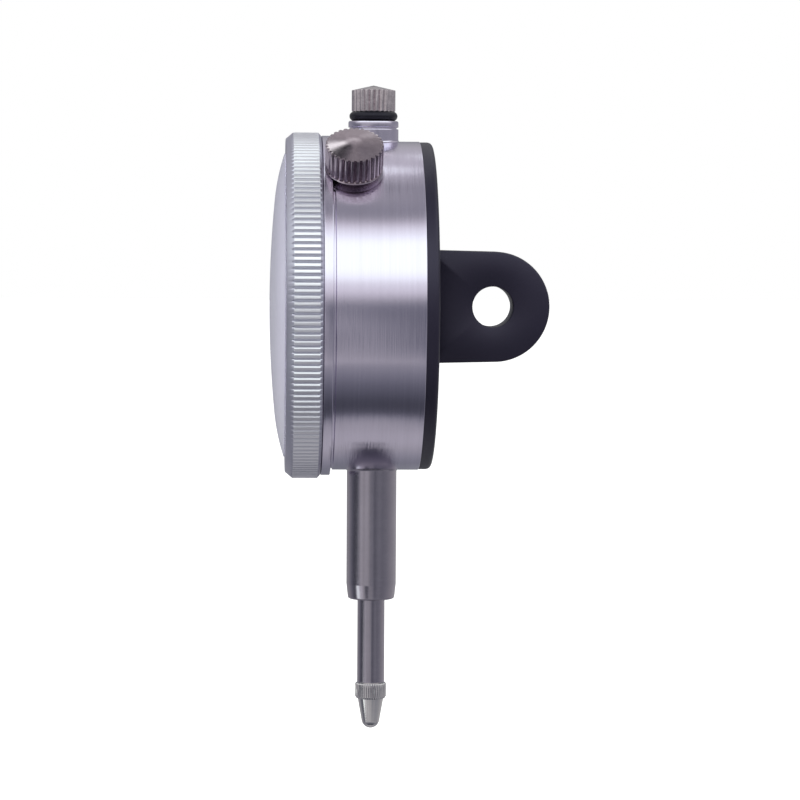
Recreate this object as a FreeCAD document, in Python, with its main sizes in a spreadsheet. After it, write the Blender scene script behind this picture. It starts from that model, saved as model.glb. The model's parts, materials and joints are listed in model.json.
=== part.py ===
import FreeCAD, Part
import math
import os
import re
import Sketcher

# Mechanical dial indicator, 10 mm travel, with lug back.
# The dial faces -Y and the spindle runs along Z. The origin lies on the spindle axis, half way
# along the stem's clamping length. Inside the pieces, Z is counted from the dial centre.

SIZES = [
    # Case
    ("case_radius", 26.25, "outer radius of the barrel"),
    ("case_wall", 1.75, "wall of the barrel"),
    ("case_rear", 7.3, "spindle axis to the cover joint"),
    ("flange_front", 8.3, "spindle axis to the front of the flange"),
    ("flange_thick", 1.45, "flange along the dial axis"),
    ("flange_step", 0.85, "flange above the barrel"),
    ("flange_chamfer", 0.25, "rear edge of the flange"),
    ("groove_width", 0.45, "turned groove behind the flange"),
    ("groove_depth", 0.25, "groove below the barrel"),
    ("spigot_length", 1.3, "spigot that carries the bezel"),
    ("boss_root", 0.3, "bosses start inside the wall of the barrel"),
    ("arbor_room", 0.4, "radial room round the counter arbor in the web"),
    ("cut_past", 1.0, "cuts run this far past the surface that they open"),
    ("web_thick", 1.7, "front web of the case"),
    ("web_bore", 2.6, "radius of the hole round the centre arbor"),
    ("dial_seat_radius", 14.2, "raised seat of the fixed dial"),
    ("dial_seat_height", 0.2, "seat above the web"),
    # Cover and lug
    ("cover_thick", 2.0, "rim of the cover"),
    ("cover_inset", 0.1, "cover radius below the barrel"),
    ("cover_round", 0.9, "rounded rear edge"),
    ("cover_spigot", 1.0, "spigot inside the barrel"),
    ("cover_fit", 0.1, "radial clearance of the spigot and of the screw heads"),
    ("cover_spigot_wall", 1.5, "wall of the spigot"),
    ("lug_thick", 6.4, "lug plate"),
    ("lug_reach", 19.1, "spindle axis to the hole of the lug"),
    ("lug_end_radius", 8.8, "rounded end of the lug"),
    ("lug_end_shift", 0.3, "centre of the rounded end beyond the hole"),
    ("lug_root_half", 9.03, "half height of the lug at the cover"),
    ("lug_edge", 0.35, "edge rounding of the lug"),
    ("lug_hole_radius", 3.25, "mounting hole"),
    ("cover_boss_inset", 1.8, "cover screws inside the bore of the barrel"),
    ("cover_boss_radius", 2.0, "boss in the case for a cover screw"),
    ("cover_boss_fit", 0.15, "clearance of the spigot round a boss"),
    ("cover_boss_high", 70.0, "upper bosses from the vertical"),
    ("cover_boss_low", 145.0, "lower bosses from the vertical"),
    ("cover_screw_radius", 0.8, "cover screw shank"),
    ("cover_screw_length", 5.0, "cover screw under its head"),
    ("cover_head_radius", 1.5, "cover screw head"),
    ("cover_head_height", 0.9, "cover screw head"),
    # Stem and spindle guides
    ("stem_radius", 4.0, "clamping stem"),
    ("stem_grip", 17.4, "cylindrical length of the stem"),
    ("stem_root", 1.05, "root of the stem at the barrel"),
    ("stem_flare", 0.3, "root wider than the stem where it leaves the barrel, each side"),
    ("stem_taper", 2.4, "tapered end of the stem"),
    ("stem_end_radius", 3.725, "small end of the taper"),
    ("stem_bore", 3.0, "bore of the stem"),
    ("stem_neck_radius", 3.5, "neck pressed into the case"),
    ("stem_neck_length", 4.0, "neck inside the barrel radius"),
    ("stem_boss_radius", 5.2, "inner boss round the neck"),
    ("stem_bush_length", 6.0, "lower guide bush"),
    ("bush_inset", 0.2, "bush above the end of the stem"),
    ("spindle_radius", 2.2, "measuring spindle"),
    ("spindle_fit", 0.02, "radial clearance of the spindle in its guides"),
    ("top_boss_radius", 4.0, "boss on top of the barrel"),
    ("top_boss_height", 1.95, "boss above the barrel"),
    ("top_boss_round", 0.5, "rounded edge of the boss"),
    ("sleeve_radius", 3.0, "shank of the upper sleeve"),
    ("sleeve_length", 6.5, "shank of the upper sleeve"),
    ("sleeve_neck_radius", 3.7, "groove under the collar"),
    ("sleeve_neck", 0.25, "groove under the collar"),
    ("sleeve_collar", 1.05, "collar of the upper sleeve"),
    ("collar_round", 0.2, "rounded edges of the collar"),
    # Spindle, cap and contact point
    ("travel", 10.0, "travel of the spindle"),
    ("spindle_reach", 13.5, "spindle below the stem at rest"),
    ("stud_radius", 1.5, "threaded stud for the cap"),
    ("stud_length", 2.4, "threaded stud for the cap"),
    ("stud_play", 0.2, "room above the threaded stud in the cap"),
    ("bumper_section", 1.5, "section of the rubber bumper ring"),
    ("bumper_radius", 3.84, "outer radius of the bumper ring"),
    ("cap_radius", 3.5, "lifting cap"),
    ("cap_height", 3.35, "knurled height of the cap"),
    ("cap_cone", 0.8, "conical top of the cap"),
    ("cap_flutes", 24, "flutes round the cap"),
    ("cap_flute_depth", 0.3, "depth of a flute"),
    ("flute_half", 0.44, "half width of a head's flute, as a share of its pitch"),
    ("flute_over", 0.3, "flute outline beyond the head"),
    ("contact_gap", 0.2, "undercut between spindle and collar"),
    ("contact_collar_radius", 2.5, "collar of the contact point"),
    ("contact_collar", 2.5, "collar of the contact point"),
    ("contact_cone_radius", 2.08, "cone below the collar"),
    ("contact_undercut", 0.3, "undercut below the radius of the cone"),
    ("contact_edge", 0.3, "lower chamfer of the collar, and twice its upper one"),
    ("contact_length", 4.9, "cone and ball below the collar"),
    ("contact_ball", 1.45, "ball end"),
    ("contact_angle", 10.0, "half angle of the cone"),
    ("contact_shank", 1.0, "threaded shank of the contact point"),
    ("contact_shank_length", 4.8, "threaded shank of the contact point"),
    # Gear train
    ("rack_pitch", 0.625, "pitch of the rack"),
    ("rack_line", 1.75, "spindle axis to the pitch line of the rack"),
    ("rack_spare", 1.4, "rack beyond its contact at rest"),
    ("pinion_teeth", 16, "pinion at the rack"),
    ("wheel_teeth", 100, "transfer wheel and counter wheel"),
    ("centre_teeth", 10, "pinion of the pointer"),
    ("flank_angle", 20.0, "straight flank of a tooth"),
    ("addendum", 0.9, "tooth above the pitch line, in modules"),
    ("dedendum", 1.25, "tooth below the pitch line, in modules"),
    ("tooth_past", 0.3, "outline of a gap beyond the tooth tips, in modules"),
    ("backlash", 0.05, "added width of every tooth gap"),
    ("wheel_thick", 0.5, "toothed wheels"),
    ("pinion_width", 2.4, "pinion at the rack"),
    ("counter_angle", 203.94, "direction of the counter arbor from the dial centre"),
    ("wheel_rim", 1.3, "rim inside the teeth"),
    ("wheel_hub", 2.1, "boss of a wheel"),
    ("wheel_boss", 0.7, "raised boss, as a share of the hub"),
    ("wheel_boss_height", 0.5, "raised boss behind the wheel"),
    ("spoke_width", 1.5, "spoke of a wheel"),
    ("transfer_level", 5.4, "spindle axis to the rear of the transfer wheel"),
    ("counter_level", 4.1, "spindle axis to the rear of the counter wheel"),
    ("arbor_radius", 0.6, "arbors"),
    ("pivot_radius", 0.4, "rear pivots"),
    ("pivot_fit", 0.03, "radial clearance of a pivot"),
    ("arbor_shake", 0.1, "shoulder of an arbor to its bearing"),
    ("pinion_over", 0.3, "pinion of the pointer beyond its wheels"),
    ("bush_radius", 1.2, "bearing bushes"),
    # Movement plates
    ("plate_gap", 0.4, "movement plates to the cover bosses"),
    ("front_plate_thick", 0.8, "front plate"),
    ("rear_plate_front", 3.0, "spindle axis to the rear plate"),
    ("rear_plate_thick", 0.8, "rear plate"),
    ("pillar_inset", 1.8, "pillars inside the rim of the plates"),
    ("pillar_left_high", 147.3, "pillar angle from the horizontal"),
    ("pillar_left_low", 249.5, "pillar angle"),
    ("pillar_right_low", 318.0, "pillar angle"),
    ("pillar_right_high", 31.3, "pillar angle"),
    ("pillar_radius", 1.4, "pillars"),
    ("movement_ring", 14.0, "pitch radius of the movement screws"),
    ("movement_angle", 75.0, "first movement screw from the horizontal"),
    ("movement_step", 115.0, "angle between movement screws"),
    ("pillar_stud", 0.6, "riveted stud of a pillar"),
    ("cock_front", 3.3, "spindle axis to the front of the cock"),
    ("cock_thick", 0.8, "plate of the cock"),
    ("cock_foot_radius", 1.7, "feet of the cock"),
    ("cock_right_x", 11.2, "right foot"),
    ("cock_right_z", -4.0, "right foot"),
    ("cock_low_x", 4.5, "lower foot"),
    ("cock_low_z", -10.5, "lower foot"),
    ("small_screw_radius", 0.5, "shank of the movement screws"),
    ("small_head_radius", 1.0, "head of the movement screws"),
    ("small_head_height", 0.6, "head of the movement screws"),
    ("screw_grip", 1.8, "screws of the rear plate below it"),
    ("tap_depth", 2.0, "tapped holes under the rear plate"),
    ("web_cover", 0.3, "web in front of the movement screws"),
    ("slot_width", 0.3, "screwdriver slot"),
    # Guide and springs
    ("guide_near", 4.0, "spindle axis to the guide rail"),
    ("guide_thick", 2.0, "guide rail"),
    ("guide_front", 1.8, "front edge of the guide rail"),
    ("guide_low", 3.0, "guide pin above the dial centre at rest"),
    ("guide_margin", 0.4, "slot beyond the travel"),
    ("guide_end", 2.4, "solid end of the rail"),
    ("guide_pin_radius", 0.7, "guide pin"),
    ("guide_pin_over", 0.4, "guide pin beyond the return spring"),
    ("guide_fit", 0.04, "clearance of the pin in its slot"),
    ("spring_offset", 8.0, "spindle axis to the return spring"),
    ("spring_radius", 1.2, "mean radius of the return spring"),
    ("spring_wire", 0.15, "radius of the spring wire"),
    ("spring_turns", 7, "turns of the return spring"),
    ("spring_lead", 2.4, "straight ends of the return spring"),
    ("post_drop", 17.0, "lower post below the dial centre"),
    ("post_radius", 0.6, "lower post"),
    ("post_head", 1.4, "head of a post, as a share of its radius"),
    ("post_head_height", 0.3, "head of a post"),
    ("stud_over", 0.5, "hairspring stud in front of the spring"),
    ("hair_inner", 1.5, "inner radius of the hairspring"),
    ("hair_step", 0.8, "pitch of the hairspring"),
    ("hair_turns", 3, "turns of the hairspring"),
    ("hair_width", 0.4, "height of the hairspring strip"),
    ("hair_thick", 0.1, "strip of the hairspring"),
    ("hair_level", 1.6, "middle of the hairspring behind the counter wheel"),
    ("hair_gap", 0.01, "end of the strip to its stud"),
    ("collet_gap", 0.3, "collet inside the hairspring"),
    # Bezel and crystal
    ("bezel_step", 0.5, "bezel above the flange"),
    ("bezel_gap", 0.1, "bezel to flange"),
    ("bezel_length", 5.6, "bezel along the dial axis"),
    ("bezel_front_chamfer", 1.2, "front chamfer along the axis"),
    ("bezel_front_drop", 1.0, "front chamfer in radius"),
    ("bezel_rear_chamfer", 0.45, "rear chamfer along the axis"),
    ("bezel_fit", 0.08, "radial clearance on the spigot"),
    ("spigot_inset", 1.33, "spigot of the case below the barrel"),
    ("lip_inset", 0.62, "opening of the bezel below the spigot"),
    ("lip_thick", 0.7, "front lip of the bezel"),
    ("bezel_flutes", 174, "flutes round the bezel"),
    ("flute_depth", 0.28, "depth of a flute"),
    ("flute_width", 0.58, "width of a flute"),
    ("flute_past", 0.1, "flute outline beyond the bezel"),
    ("snap_wire", 0.6, "section of the bezel snap wire"),
    ("snap_gap_angle", 34.0, "opening of the snap wire"),
    ("snap_depth", 0.35, "depth of the snap wire grooves"),
    ("snap_play", 0.05, "snap wire in its grooves, along the axis"),
    ("snap_float", 0.03, "snap wire above the floor of its groove"),
    ("crystal_thick", 1.4, "crystal"),
    ("crystal_rise", 2.5, "crystal above the bezel"),
    ("crystal_flange", 1.0, "flange of the crystal"),
    ("crystal_flat_arc", 180.0, "radius of the middle dome"),
    ("crystal_edge_arc", 41.0, "radius of the outer dome"),
    ("crystal_break", 0.7, "where the dome steepens, as a share of the opening"),
    ("crystal_fit", 0.05, "crystal in the bezel"),
    ("crystal_lip_fit", 0.1, "dome in the opening of the bezel"),
    ("crystal_drop", 0.2, "foot of the dome in front of the bezel"),
    ("crystal_knee", 0.5, "inner knee of the dome inside the outer one"),
    ("spacer_wall", 1.1, "spacer ring"),
    # Dial and hands
    ("dial_thick", 0.4, "dial plate and ring"),
    ("dial_gap", 0.25, "between the plate and the ring"),
    ("dial_screw_ring", 12.0, "pitch radius of the dial screws"),
    ("dial_screw_angle", 25.0, "dial screws from the horizontal"),
    ("dial_overhang", 0.4, "fixed dial plate beyond its seat"),
    ("dial_bore", 2.0, "hole round the centre arbor"),
    ("dial_counter_bore", 1.0, "hole round the counter arbor"),
    ("pointer_level", 11.5, "spindle axis to the pointer blade"),
    ("pointer_short", 2.55, "tip of the pointer inside the spacer"),
    ("pointer_tail", 6.5, "tail of the pointer"),
    ("pointer_width", 1.3, "blade at the hub"),
    ("pointer_flare", 0.5, "tail wider than the blade, each side"),
    ("pointer_point", 0.12, "half width of the tip"),
    ("pointer_hub", 2.3, "hub of the pointer"),
    ("pointer_hub_height", 0.6, "hub in front of the blade"),
    ("hand_thick", 0.25, "blades"),
    ("counter_hand_level", 10.8, "spindle axis to the counter hand"),
    ("counter_hand_tip", 3.5, "tip of the counter hand"),
    ("counter_hand_tail", 1.4, "tail of the counter hand"),
    ("counter_hand_width", 0.25, "half width at the hub"),
    ("counter_hand_point", 0.08, "half width of the tip"),
    ("counter_over", 0.1, "counter arbor in front of its hand"),
    ("counter_hub", 0.85, "hub of the counter hand"),
    # Bezel clamp
    ("clamp_angle", 37.0, "clamp screw from the vertical"),
    ("clamp_level", 3.6, "clamp screw in front of the spindle axis"),
    ("clamp_boss_rise", 0.7, "boss of the clamp above the barrel"),
    ("clamp_boss_radius", 3.6, "boss under the knob"),
    ("clamp_seat_gap", 0.05, "knob above its seat"),
    ("spot_margin", 0.2, "spot face beyond the knob"),
    ("knob_radius", 4.5, "knurled head"),
    ("knob_height", 4.5, "knurled head"),
    ("knob_cone", 0.9, "conical top of the knob"),
    ("knob_edge", 0.35, "lower chamfer of the knob"),
    ("knob_flutes", 30, "flutes round the knob"),
    ("knob_flute_depth", 0.4, "depth of a flute"),
    ("knob_shank", 1.5, "journal of the knob"),
    ("knob_thread", 1.0, "thread in the shoe"),
    ("knob_play", 0.3, "shoulder and end of the thread to the faces of the shoe"),
    ("knob_fit", 0.05, "radial clearance of the journal"),
    ("shoe_play", 0.6, "shoe to the bore of the barrel at rest"),
    ("shoe_height", 2.1, "shoe along the screw"),
    ("shoe_length", 5.0, "shoe along the dial axis"),
    ("shoe_width", 4.0, "shoe across the screw"),
    ("nose_play", 0.42, "nose below the spigot at rest"),
    ("shoe_nose_thick", 1.5, "nose along the screw"),
    ("shoe_throw", 0.375, "way of the shoe"),
    ("shoe_fit", 0.15, "clearance round the nose"),
]

doc = FreeCAD.newDocument("dial_indicator")
sheet = doc.addObject("Spreadsheet::Sheet", "Sizes")
for row, (alias, size, meaning) in enumerate(SIZES, start=1):
    sheet.set(f"A{row}", alias)
    sheet.set(f"B{row}", str(size))
    sheet.setAlias(f"B{row}", alias)
    sheet.set(f"C{row}", meaning)
doc.recompute()
ALIASES = {alias for alias, size, meaning in SIZES}

# Expressions


def bound(text):
    """The text of a size with every alias named in the sheet."""
    return re.sub(r"[a-z_]+", lambda word: "Sizes." + word.group()
                  if word.group() in ALIASES else word.group(), str(text))


def number(text):
    """A size worked out now, in mm or degrees."""
    result = sheet.evalExpression(bound(text))
    return getattr(result, "Value", result)


def bind(feature, prop, text):
    feature.setExpression(prop, bound(text))


# Stations along the dial axis, and the places that follow from the train
DIAL_HEIGHT = "(case_radius + stem_root + stem_grip / 2)"
WEB_FRONT = "(-flange_front - spigot_length)"
WEB_REAR = f"({WEB_FRONT} + web_thick)"
DIAL_SEAT = f"({WEB_FRONT} - dial_seat_height)"
DIAL_FRONT = f"({DIAL_SEAT} - dial_thick)"
FLANGE_RADIUS = "(case_radius + flange_step)"
INNER_RADIUS = "(case_radius - case_wall)"
SPIGOT_RADIUS = "(case_radius - spigot_inset)"
LIP_RADIUS = f"({SPIGOT_RADIUS} - lip_inset)"
COVER_BOSS_RING = f"({INNER_RADIUS} - cover_boss_inset)"
PLATE_RADIUS = f"({COVER_BOSS_RING} - cover_boss_radius - plate_gap)"
PILLAR_RING = f"({PLATE_RADIUS} - pillar_inset)"
BEZEL_REAR = "(-flange_front - bezel_gap)"
BEZEL_FRONT = f"({BEZEL_REAR} - bezel_length)"
BEZEL_RADIUS = f"({FLANGE_RADIUS} + bezel_step)"
BEZEL_BORE = f"({SPIGOT_RADIUS} + bezel_fit)"
LIP_REAR = f"({BEZEL_FRONT} + lip_thick)"
CRYSTAL_RADIUS = f"({BEZEL_BORE} - crystal_fit)"
CRYSTAL_REAR = f"({LIP_REAR} + crystal_flange)"
CRYSTAL_APEX = f"({BEZEL_FRONT} - crystal_rise)"
CRYSTAL_BREAK = f"(crystal_break * {LIP_RADIUS})"
CRYSTAL_SAG = f"(crystal_flat_arc - sqrt(crystal_flat_arc ^ 2 - {CRYSTAL_BREAK} ^ 2))"
SNAP_MIDDLE = f"({WEB_FRONT} + spigot_length / 2)"
SNAP_FRONT = f"({SNAP_MIDDLE} - snap_wire / 2 - snap_play)"
SNAP_REAR = f"({SNAP_MIDDLE} + snap_wire / 2 + snap_play)"
DIAL_PLATE_RADIUS = "(dial_seat_radius + dial_overhang)"
SPACER_BORE = f"({CRYSTAL_RADIUS} - spacer_wall)"
POINTER_TIP = f"({SPACER_BORE} - pointer_short)"
PLATE_REAR = f"({WEB_REAR} + front_plate_thick)"
COVER_REAR = "(case_rear + cover_thick)"
REAR_PLATE_REAR = "(rear_plate_front + rear_plate_thick)"
BOSS_TOP = "(case_radius + top_boss_height)"
SLEEVE_TOP = f"({BOSS_TOP} + sleeve_neck + sleeve_collar)"
CAP_BASE = f"({SLEEVE_TOP} + bumper_section)"
STEM_TOP = "(-case_radius - stem_root)"
STEM_BOTTOM = f"({STEM_TOP} - stem_grip - stem_taper)"
SPINDLE_LOW = f"({STEM_BOTTOM} - spindle_reach)"
CONTACT_TOP = f"({SPINDLE_LOW} - contact_gap)"
CLAMP_SEAT = "(case_radius + clamp_boss_rise)"
SHOE_OUTER = f"({INNER_RADIUS} - shoe_play)"
SHOE_NOSE = f"({SPIGOT_RADIUS} - nose_play)"
MODULE = "(rack_pitch / pi)"
PINION_X = f"(-rack_line - {MODULE} * pinion_teeth / 2)"
CENTRE_DISTANCE = f"({MODULE} * (wheel_teeth + centre_teeth) / 2)"
PINION_Z = f"(sqrt({CENTRE_DISTANCE} ^ 2 - {PINION_X} ^ 2))"
PINION_ANGLE = f"(acos({PINION_X} / {CENTRE_DISTANCE}) / 1deg)"
COUNTER_X = f"({CENTRE_DISTANCE} * cos(counter_angle * 1deg))"
COUNTER_Z = f"({CENTRE_DISTANCE} * sin(counter_angle * 1deg))"
GUIDE_LOW = "(guide_low - guide_pin_radius - guide_margin)"
GUIDE_HIGH = "(guide_low + travel + guide_pin_radius + guide_margin)"
SPRING_PIN_END = "(spring_offset + spring_radius)"

# Two places closer than this are one, in mm
SAME_PLACE = 0.001

NODES = []

# Building blocks


def piece(label, x="0", y="0", z="0", axis=(0, 1, 0), angle=None):
    """A body whose own frame is the dial centre, moved and turned about one axis."""
    body = doc.addObject("PartDesign::Body", label)
    body.Label = label
    body.Placement = FreeCAD.Placement(FreeCAD.Vector(), FreeCAD.Rotation(FreeCAD.Vector(*axis), 1))
    bind(body, "Placement.Base.x", x)
    bind(body, "Placement.Base.y", y)
    bind(body, "Placement.Base.z", f"{DIAL_HEIGHT} + ({z})")
    bind(body, "Placement.Rotation.Angle", "0" if angle is None else angle)
    NODES.append(body)
    return body


def plane(body, role):
    """One of the body's own origin planes or axes."""
    return next(part for part in body.Origin.OriginFeatures if part.Role == role)


def sketch(body, name, role, level="0"):
    """An empty sketch, moved along the normal of an origin plane."""
    made = body.newObject("Sketcher::SketchObject", name)
    made.AttachmentSupport = [(plane(body, role), "")]
    made.MapMode = "FlatFace"
    bind(made, "AttachmentOffset.Base.z", level)
    return made


def pin(made, edge, end, point):
    """Holds one end of an edge at a bound place."""
    for kind, text in zip(("DistanceX", "DistanceY"), point):
        index = made.addConstraint(Sketcher.Constraint(kind, -1, 1, edge, end, number(text)))
        bind(made, f"Constraints[{index}]", text)


def outline(body, name, role, points, arcs=None, level="0"):
    """A closed outline. arcs gives an edge's radius, positive where its centre lies to the left."""
    made = sketch(body, name, role, level)
    arcs = arcs or {}
    places = [FreeCAD.Vector(number(x), number(y), 0) for x, y in points]
    ends = []
    for edge, start in enumerate(places):
        stop = places[(edge + 1) % len(places)]
        if edge not in arcs:
            made.addGeometry(Part.LineSegment(start, stop))
            ends.append((1, 2))
            continue
        left, radius = arcs[edge]
        size = number(radius)
        chord = stop - start
        rise = math.sqrt(size ** 2 - (chord.Length / 2) ** 2)
        normal = FreeCAD.Vector(-chord.y, chord.x, 0).normalize()
        centre = (start + stop) / 2 + normal * (rise if left else -rise)
        first, last = (start, stop) if left else (stop, start)
        begin = math.atan2(first.y - centre.y, first.x - centre.x)
        close = math.atan2(last.y - centre.y, last.x - centre.x)
        circle = Part.Circle(centre, FreeCAD.Vector(0, 0, 1), size)
        made.addGeometry(Part.ArcOfCircle(circle, begin, close if close > begin else close + math.tau))
        ends.append((1, 2) if left else (2, 1))
    for edge, point in enumerate(points):
        following = (edge + 1) % len(points)
        made.addConstraint(Sketcher.Constraint("Coincident", edge, ends[edge][1],
                                               following, ends[following][0]))
        pin(made, edge, ends[edge][0], point)
        if edge in arcs:
            index = made.addConstraint(Sketcher.Constraint("Radius", edge, number(arcs[edge][1])))
            bind(made, f"Constraints[{index}]", arcs[edge][1])
    return made


def circles(body, name, role, rounds, level="0"):
    """A sketch of circles, each given as x, y and radius."""
    made = sketch(body, name, role, level)
    for edge, (x, y, radius) in enumerate(rounds):
        centre = FreeCAD.Vector(number(x), number(y), 0)
        made.addGeometry(Part.Circle(centre, FreeCAD.Vector(0, 0, 1), number(radius)))
        pin(made, edge, 3, (x, y))
        index = made.addConstraint(Sketcher.Constraint("Radius", edge, number(radius)))
        bind(made, f"Constraints[{index}]", radius)
    return made


def turned(body, name, profile, axis="V_Axis", cut=False):
    """A full turn of a profile about an axis of its sketch, added or cut away."""
    made = body.newObject("PartDesign::Groove" if cut else "PartDesign::Revolution", name)
    made.Profile = profile
    made.ReferenceAxis = (profile, [axis])
    made.Angle = 360
    profile.Visibility = False
    return made


def padded(body, name, profile, front, rear):
    """A plate between two stations of the dial axis, from a sketch on XZ_Plane."""
    bind(profile, "AttachmentOffset.Base.z", f"-({rear})")
    made = body.newObject("PartDesign::Pad", name)
    made.Profile = profile
    bind(made, "Length", f"({rear}) - ({front})")
    return made


def pocketed(body, name, profile, front, rear):
    """A cut between two stations of the dial axis, from a sketch on XZ_Plane."""
    bind(profile, "AttachmentOffset.Base.z", f"-({front})")
    made = body.newObject("PartDesign::Pocket", name)
    made.Profile = profile
    bind(made, "Length", f"({rear}) - ({front})")
    return made


def block(body, name, cut, sizes, corner, angle="0"):
    """A box with its low corner in a frame that is turned about the dial axis."""
    made = body.newObject("PartDesign::SubtractiveBox" if cut else "PartDesign::AdditiveBox", name)
    for prop, text in zip(("Length", "Width", "Height"), sizes):
        bind(made, prop, text)
    place(body, made, corner, angle)
    return made


def drum(body, name, cut, radius, length, centre, angle="0"):
    """A cylinder along the turned frame's Z, with the centre of its low end given."""
    kind = "PartDesign::SubtractiveCylinder" if cut else "PartDesign::AdditiveCylinder"
    made = body.newObject(kind, name)
    bind(made, "Radius", radius)
    bind(made, "Height", length)
    place(body, made, centre, angle)
    return made


def place(body, made, corner, angle):
    """Attaches a primitive in a frame turned about the dial axis, clockwise from the front."""
    x, y, z = corner
    made.AttachmentSupport = [(plane(body, "XY_Plane"), "")]
    made.MapMode = "FlatFace"
    turn = FreeCAD.Rotation(FreeCAD.Vector(0, 1, 0), 1)
    made.AttachmentOffset = FreeCAD.Placement(FreeCAD.Vector(), turn)
    bind(made, "AttachmentOffset.Rotation.Angle", angle)
    turned_x = f"({x}) * cos(({angle}) * 1deg) + ({z}) * sin(({angle}) * 1deg)"
    turned_z = f"({z}) * cos(({angle}) * 1deg) - ({x}) * sin(({angle}) * 1deg)"
    bind(made, "AttachmentOffset.Base.x", turned_x)
    bind(made, "AttachmentOffset.Base.y", y)
    bind(made, "AttachmentOffset.Base.z", turned_z)


def hole_along_y(body, name, x, z, radius, front, rear):
    """A round hole through a plate."""
    return pocketed(body, name, circles(body, name + "_circle", "XZ_Plane", [(x, z, radius)]),
                    front, rear)


def patterned(body, name, feature, profile, count, axis="V_Axis"):
    """Equal copies of a feature round an axis of a sketch."""
    made = body.newObject("PartDesign::PolarPattern", name)
    made.Originals = [feature]
    made.Axis = (profile, [axis])
    made.Angle = 360
    bind(made, "Occurrences", count)
    body.Tip = made
    return made


def toothed(body, name, teeth, front, rear, phase):
    """A toothed disc. phase turns the middle of a gap from local +X, counted from the front."""
    pitch_radius = f"({MODULE} * {teeth} / 2)"
    tip = f"({pitch_radius} + addendum * {MODULE})"
    root = f"({pitch_radius} - dedendum * {MODULE})"
    disc = padded(body, name, circles(body, name + "_disc", "XZ_Plane", [("0", "0", tip)]), front, rear)
    slope = "tan(flank_angle * 1deg)"
    reach = f"({tip} + tooth_past * {MODULE})"
    wide = f"(rack_pitch / 4 + backlash / 2 + ({reach} - {pitch_radius}) * {slope})"
    narrow = f"(rack_pitch / 4 + backlash / 2 - ({pitch_radius} - {root}) * {slope})"
    corners = [(root, f"-{narrow}"), (reach, f"-{wide}"), (reach, wide), (root, narrow)]
    gap = outline(body, name + "_gap", "XZ_Plane", [
        (f"{x} * cos(({phase}) * 1deg) - ({y}) * sin(({phase}) * 1deg)",
         f"{x} * sin(({phase}) * 1deg) + ({y}) * cos(({phase}) * 1deg)") for x, y in corners])
    cut = pocketed(body, name + "_cut", gap, front, rear)
    turn = body.newObject("PartDesign::PolarPattern", name + "_teeth")
    turn.Originals = [cut]
    turn.Axis = (plane(body, "Y_Axis"), [""])
    turn.Angle = 360
    bind(turn, "Occurrences", teeth)
    body.Tip = turn
    return disc


def group(label, members):
    """Separate solids that share one node."""
    made = doc.addObject("Part::Compound", label)
    made.Label = label
    made.Links = members
    bind(made, "Placement.Base.z", DIAL_HEIGHT)
    NODES.append(made)
    return made


def bar(radius, x, z, front, rear):
    """A cylinder along the dial axis."""
    made = doc.addObject("Part::Cylinder", "bar")
    made.Placement = FreeCAD.Placement(FreeCAD.Vector(), FreeCAD.Rotation(FreeCAD.Vector(1, 0, 0), -90))
    bind(made, "Radius", radius)
    bind(made, "Height", f"({rear}) - ({front})")
    bind(made, "Placement.Base.x", x)
    bind(made, "Placement.Base.y", front)
    bind(made, "Placement.Base.z", z)
    return made


def cut_from(base, tool):
    made = doc.addObject("Part::Cut", "cut")
    made.Base = base
    made.Tool = tool
    return made


def joined(*members):
    made = doc.addObject("Part::MultiFuse", "joined")
    made.Shapes = list(members)
    return made


def screw(x, z, seat, shank_end, shank, head, height, turn):
    """A cheese-head screw. turn is 1 where the head lies towards the rear, and -1 in front."""
    top = f"({seat} + {turn} * {height})"
    ends = sorted([(number(seat), seat), (number(top), top)])
    body = bar(head, x, z, ends[0][1], ends[1][1])
    ends = sorted([(number(seat), seat), (number(shank_end), shank_end)])
    stem = bar(shank, x, z, ends[0][1], ends[1][1])
    slot = doc.addObject("Part::Box", "slot")
    bind(slot, "Length", f"2 * {head}")
    bind(slot, "Width", f"{height} / 2")
    bind(slot, "Height", "slot_width")
    bind(slot, "Placement.Base.x", f"{x} - {head}")
    bind(slot, "Placement.Base.y", f"{seat} + {height} / 2" if turn > 0 else top)
    bind(slot, "Placement.Base.z", f"{z} - slot_width / 2")
    return cut_from(joined(body, stem), slot)


def ring_of(outer, inner, x, z, front, rear):
    """A plain bush along the dial axis."""
    return cut_from(bar(outer, x, z, front, rear), bar(inner, x, z, front, rear))


def at(ring, angle):
    """A place on a pitch circle, the angle counted from +X against the clock."""
    return f"({ring} * cos(({angle}) * 1deg))", f"({ring} * sin(({angle}) * 1deg))"


CENTRE = ("0", "0")
PINION = (PINION_X, PINION_Z)
COUNTER = (COUNTER_X, COUNTER_Z)
COVER_SCREWS = [at(COVER_BOSS_RING, f"90 + {side} * {angle}")
                for side in (1, -1) for angle in ("cover_boss_high", "cover_boss_low")]
PILLARS = [at(PILLAR_RING, angle) for angle in
           ("pillar_left_high", "pillar_left_low", "pillar_right_low", "pillar_right_high")]
MOVEMENT_SCREWS = [at("movement_ring", f"movement_angle + {turn} * movement_step") for turn in range(3)]
DIAL_SCREWS = [at("dial_screw_ring", f"{side} * dial_screw_angle") for side in (1, -1)]
COCK_FEET = [("cock_right_x", "cock_right_z"), ("cock_low_x", "cock_low_z")]
GUIDE_MIDDLE = "(guide_near + guide_thick / 2)"
GUIDE_SCREWS = [(GUIDE_MIDDLE, f"({GUIDE_LOW} - guide_end / 2)"),
                (GUIDE_MIDDLE, f"({GUIDE_HIGH} + guide_end / 2)")]
SHOE_FRONT = "(-clamp_level - shoe_length / 2)"
HAIR_OUTER = "(hair_inner + hair_turns * hair_step)"
HAIR_LEVEL = "(-counter_level + hair_level)"


def rounds(places, radius):
    return [(x, z, radius) for x, z in places]


# Case, cover and stem


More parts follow.
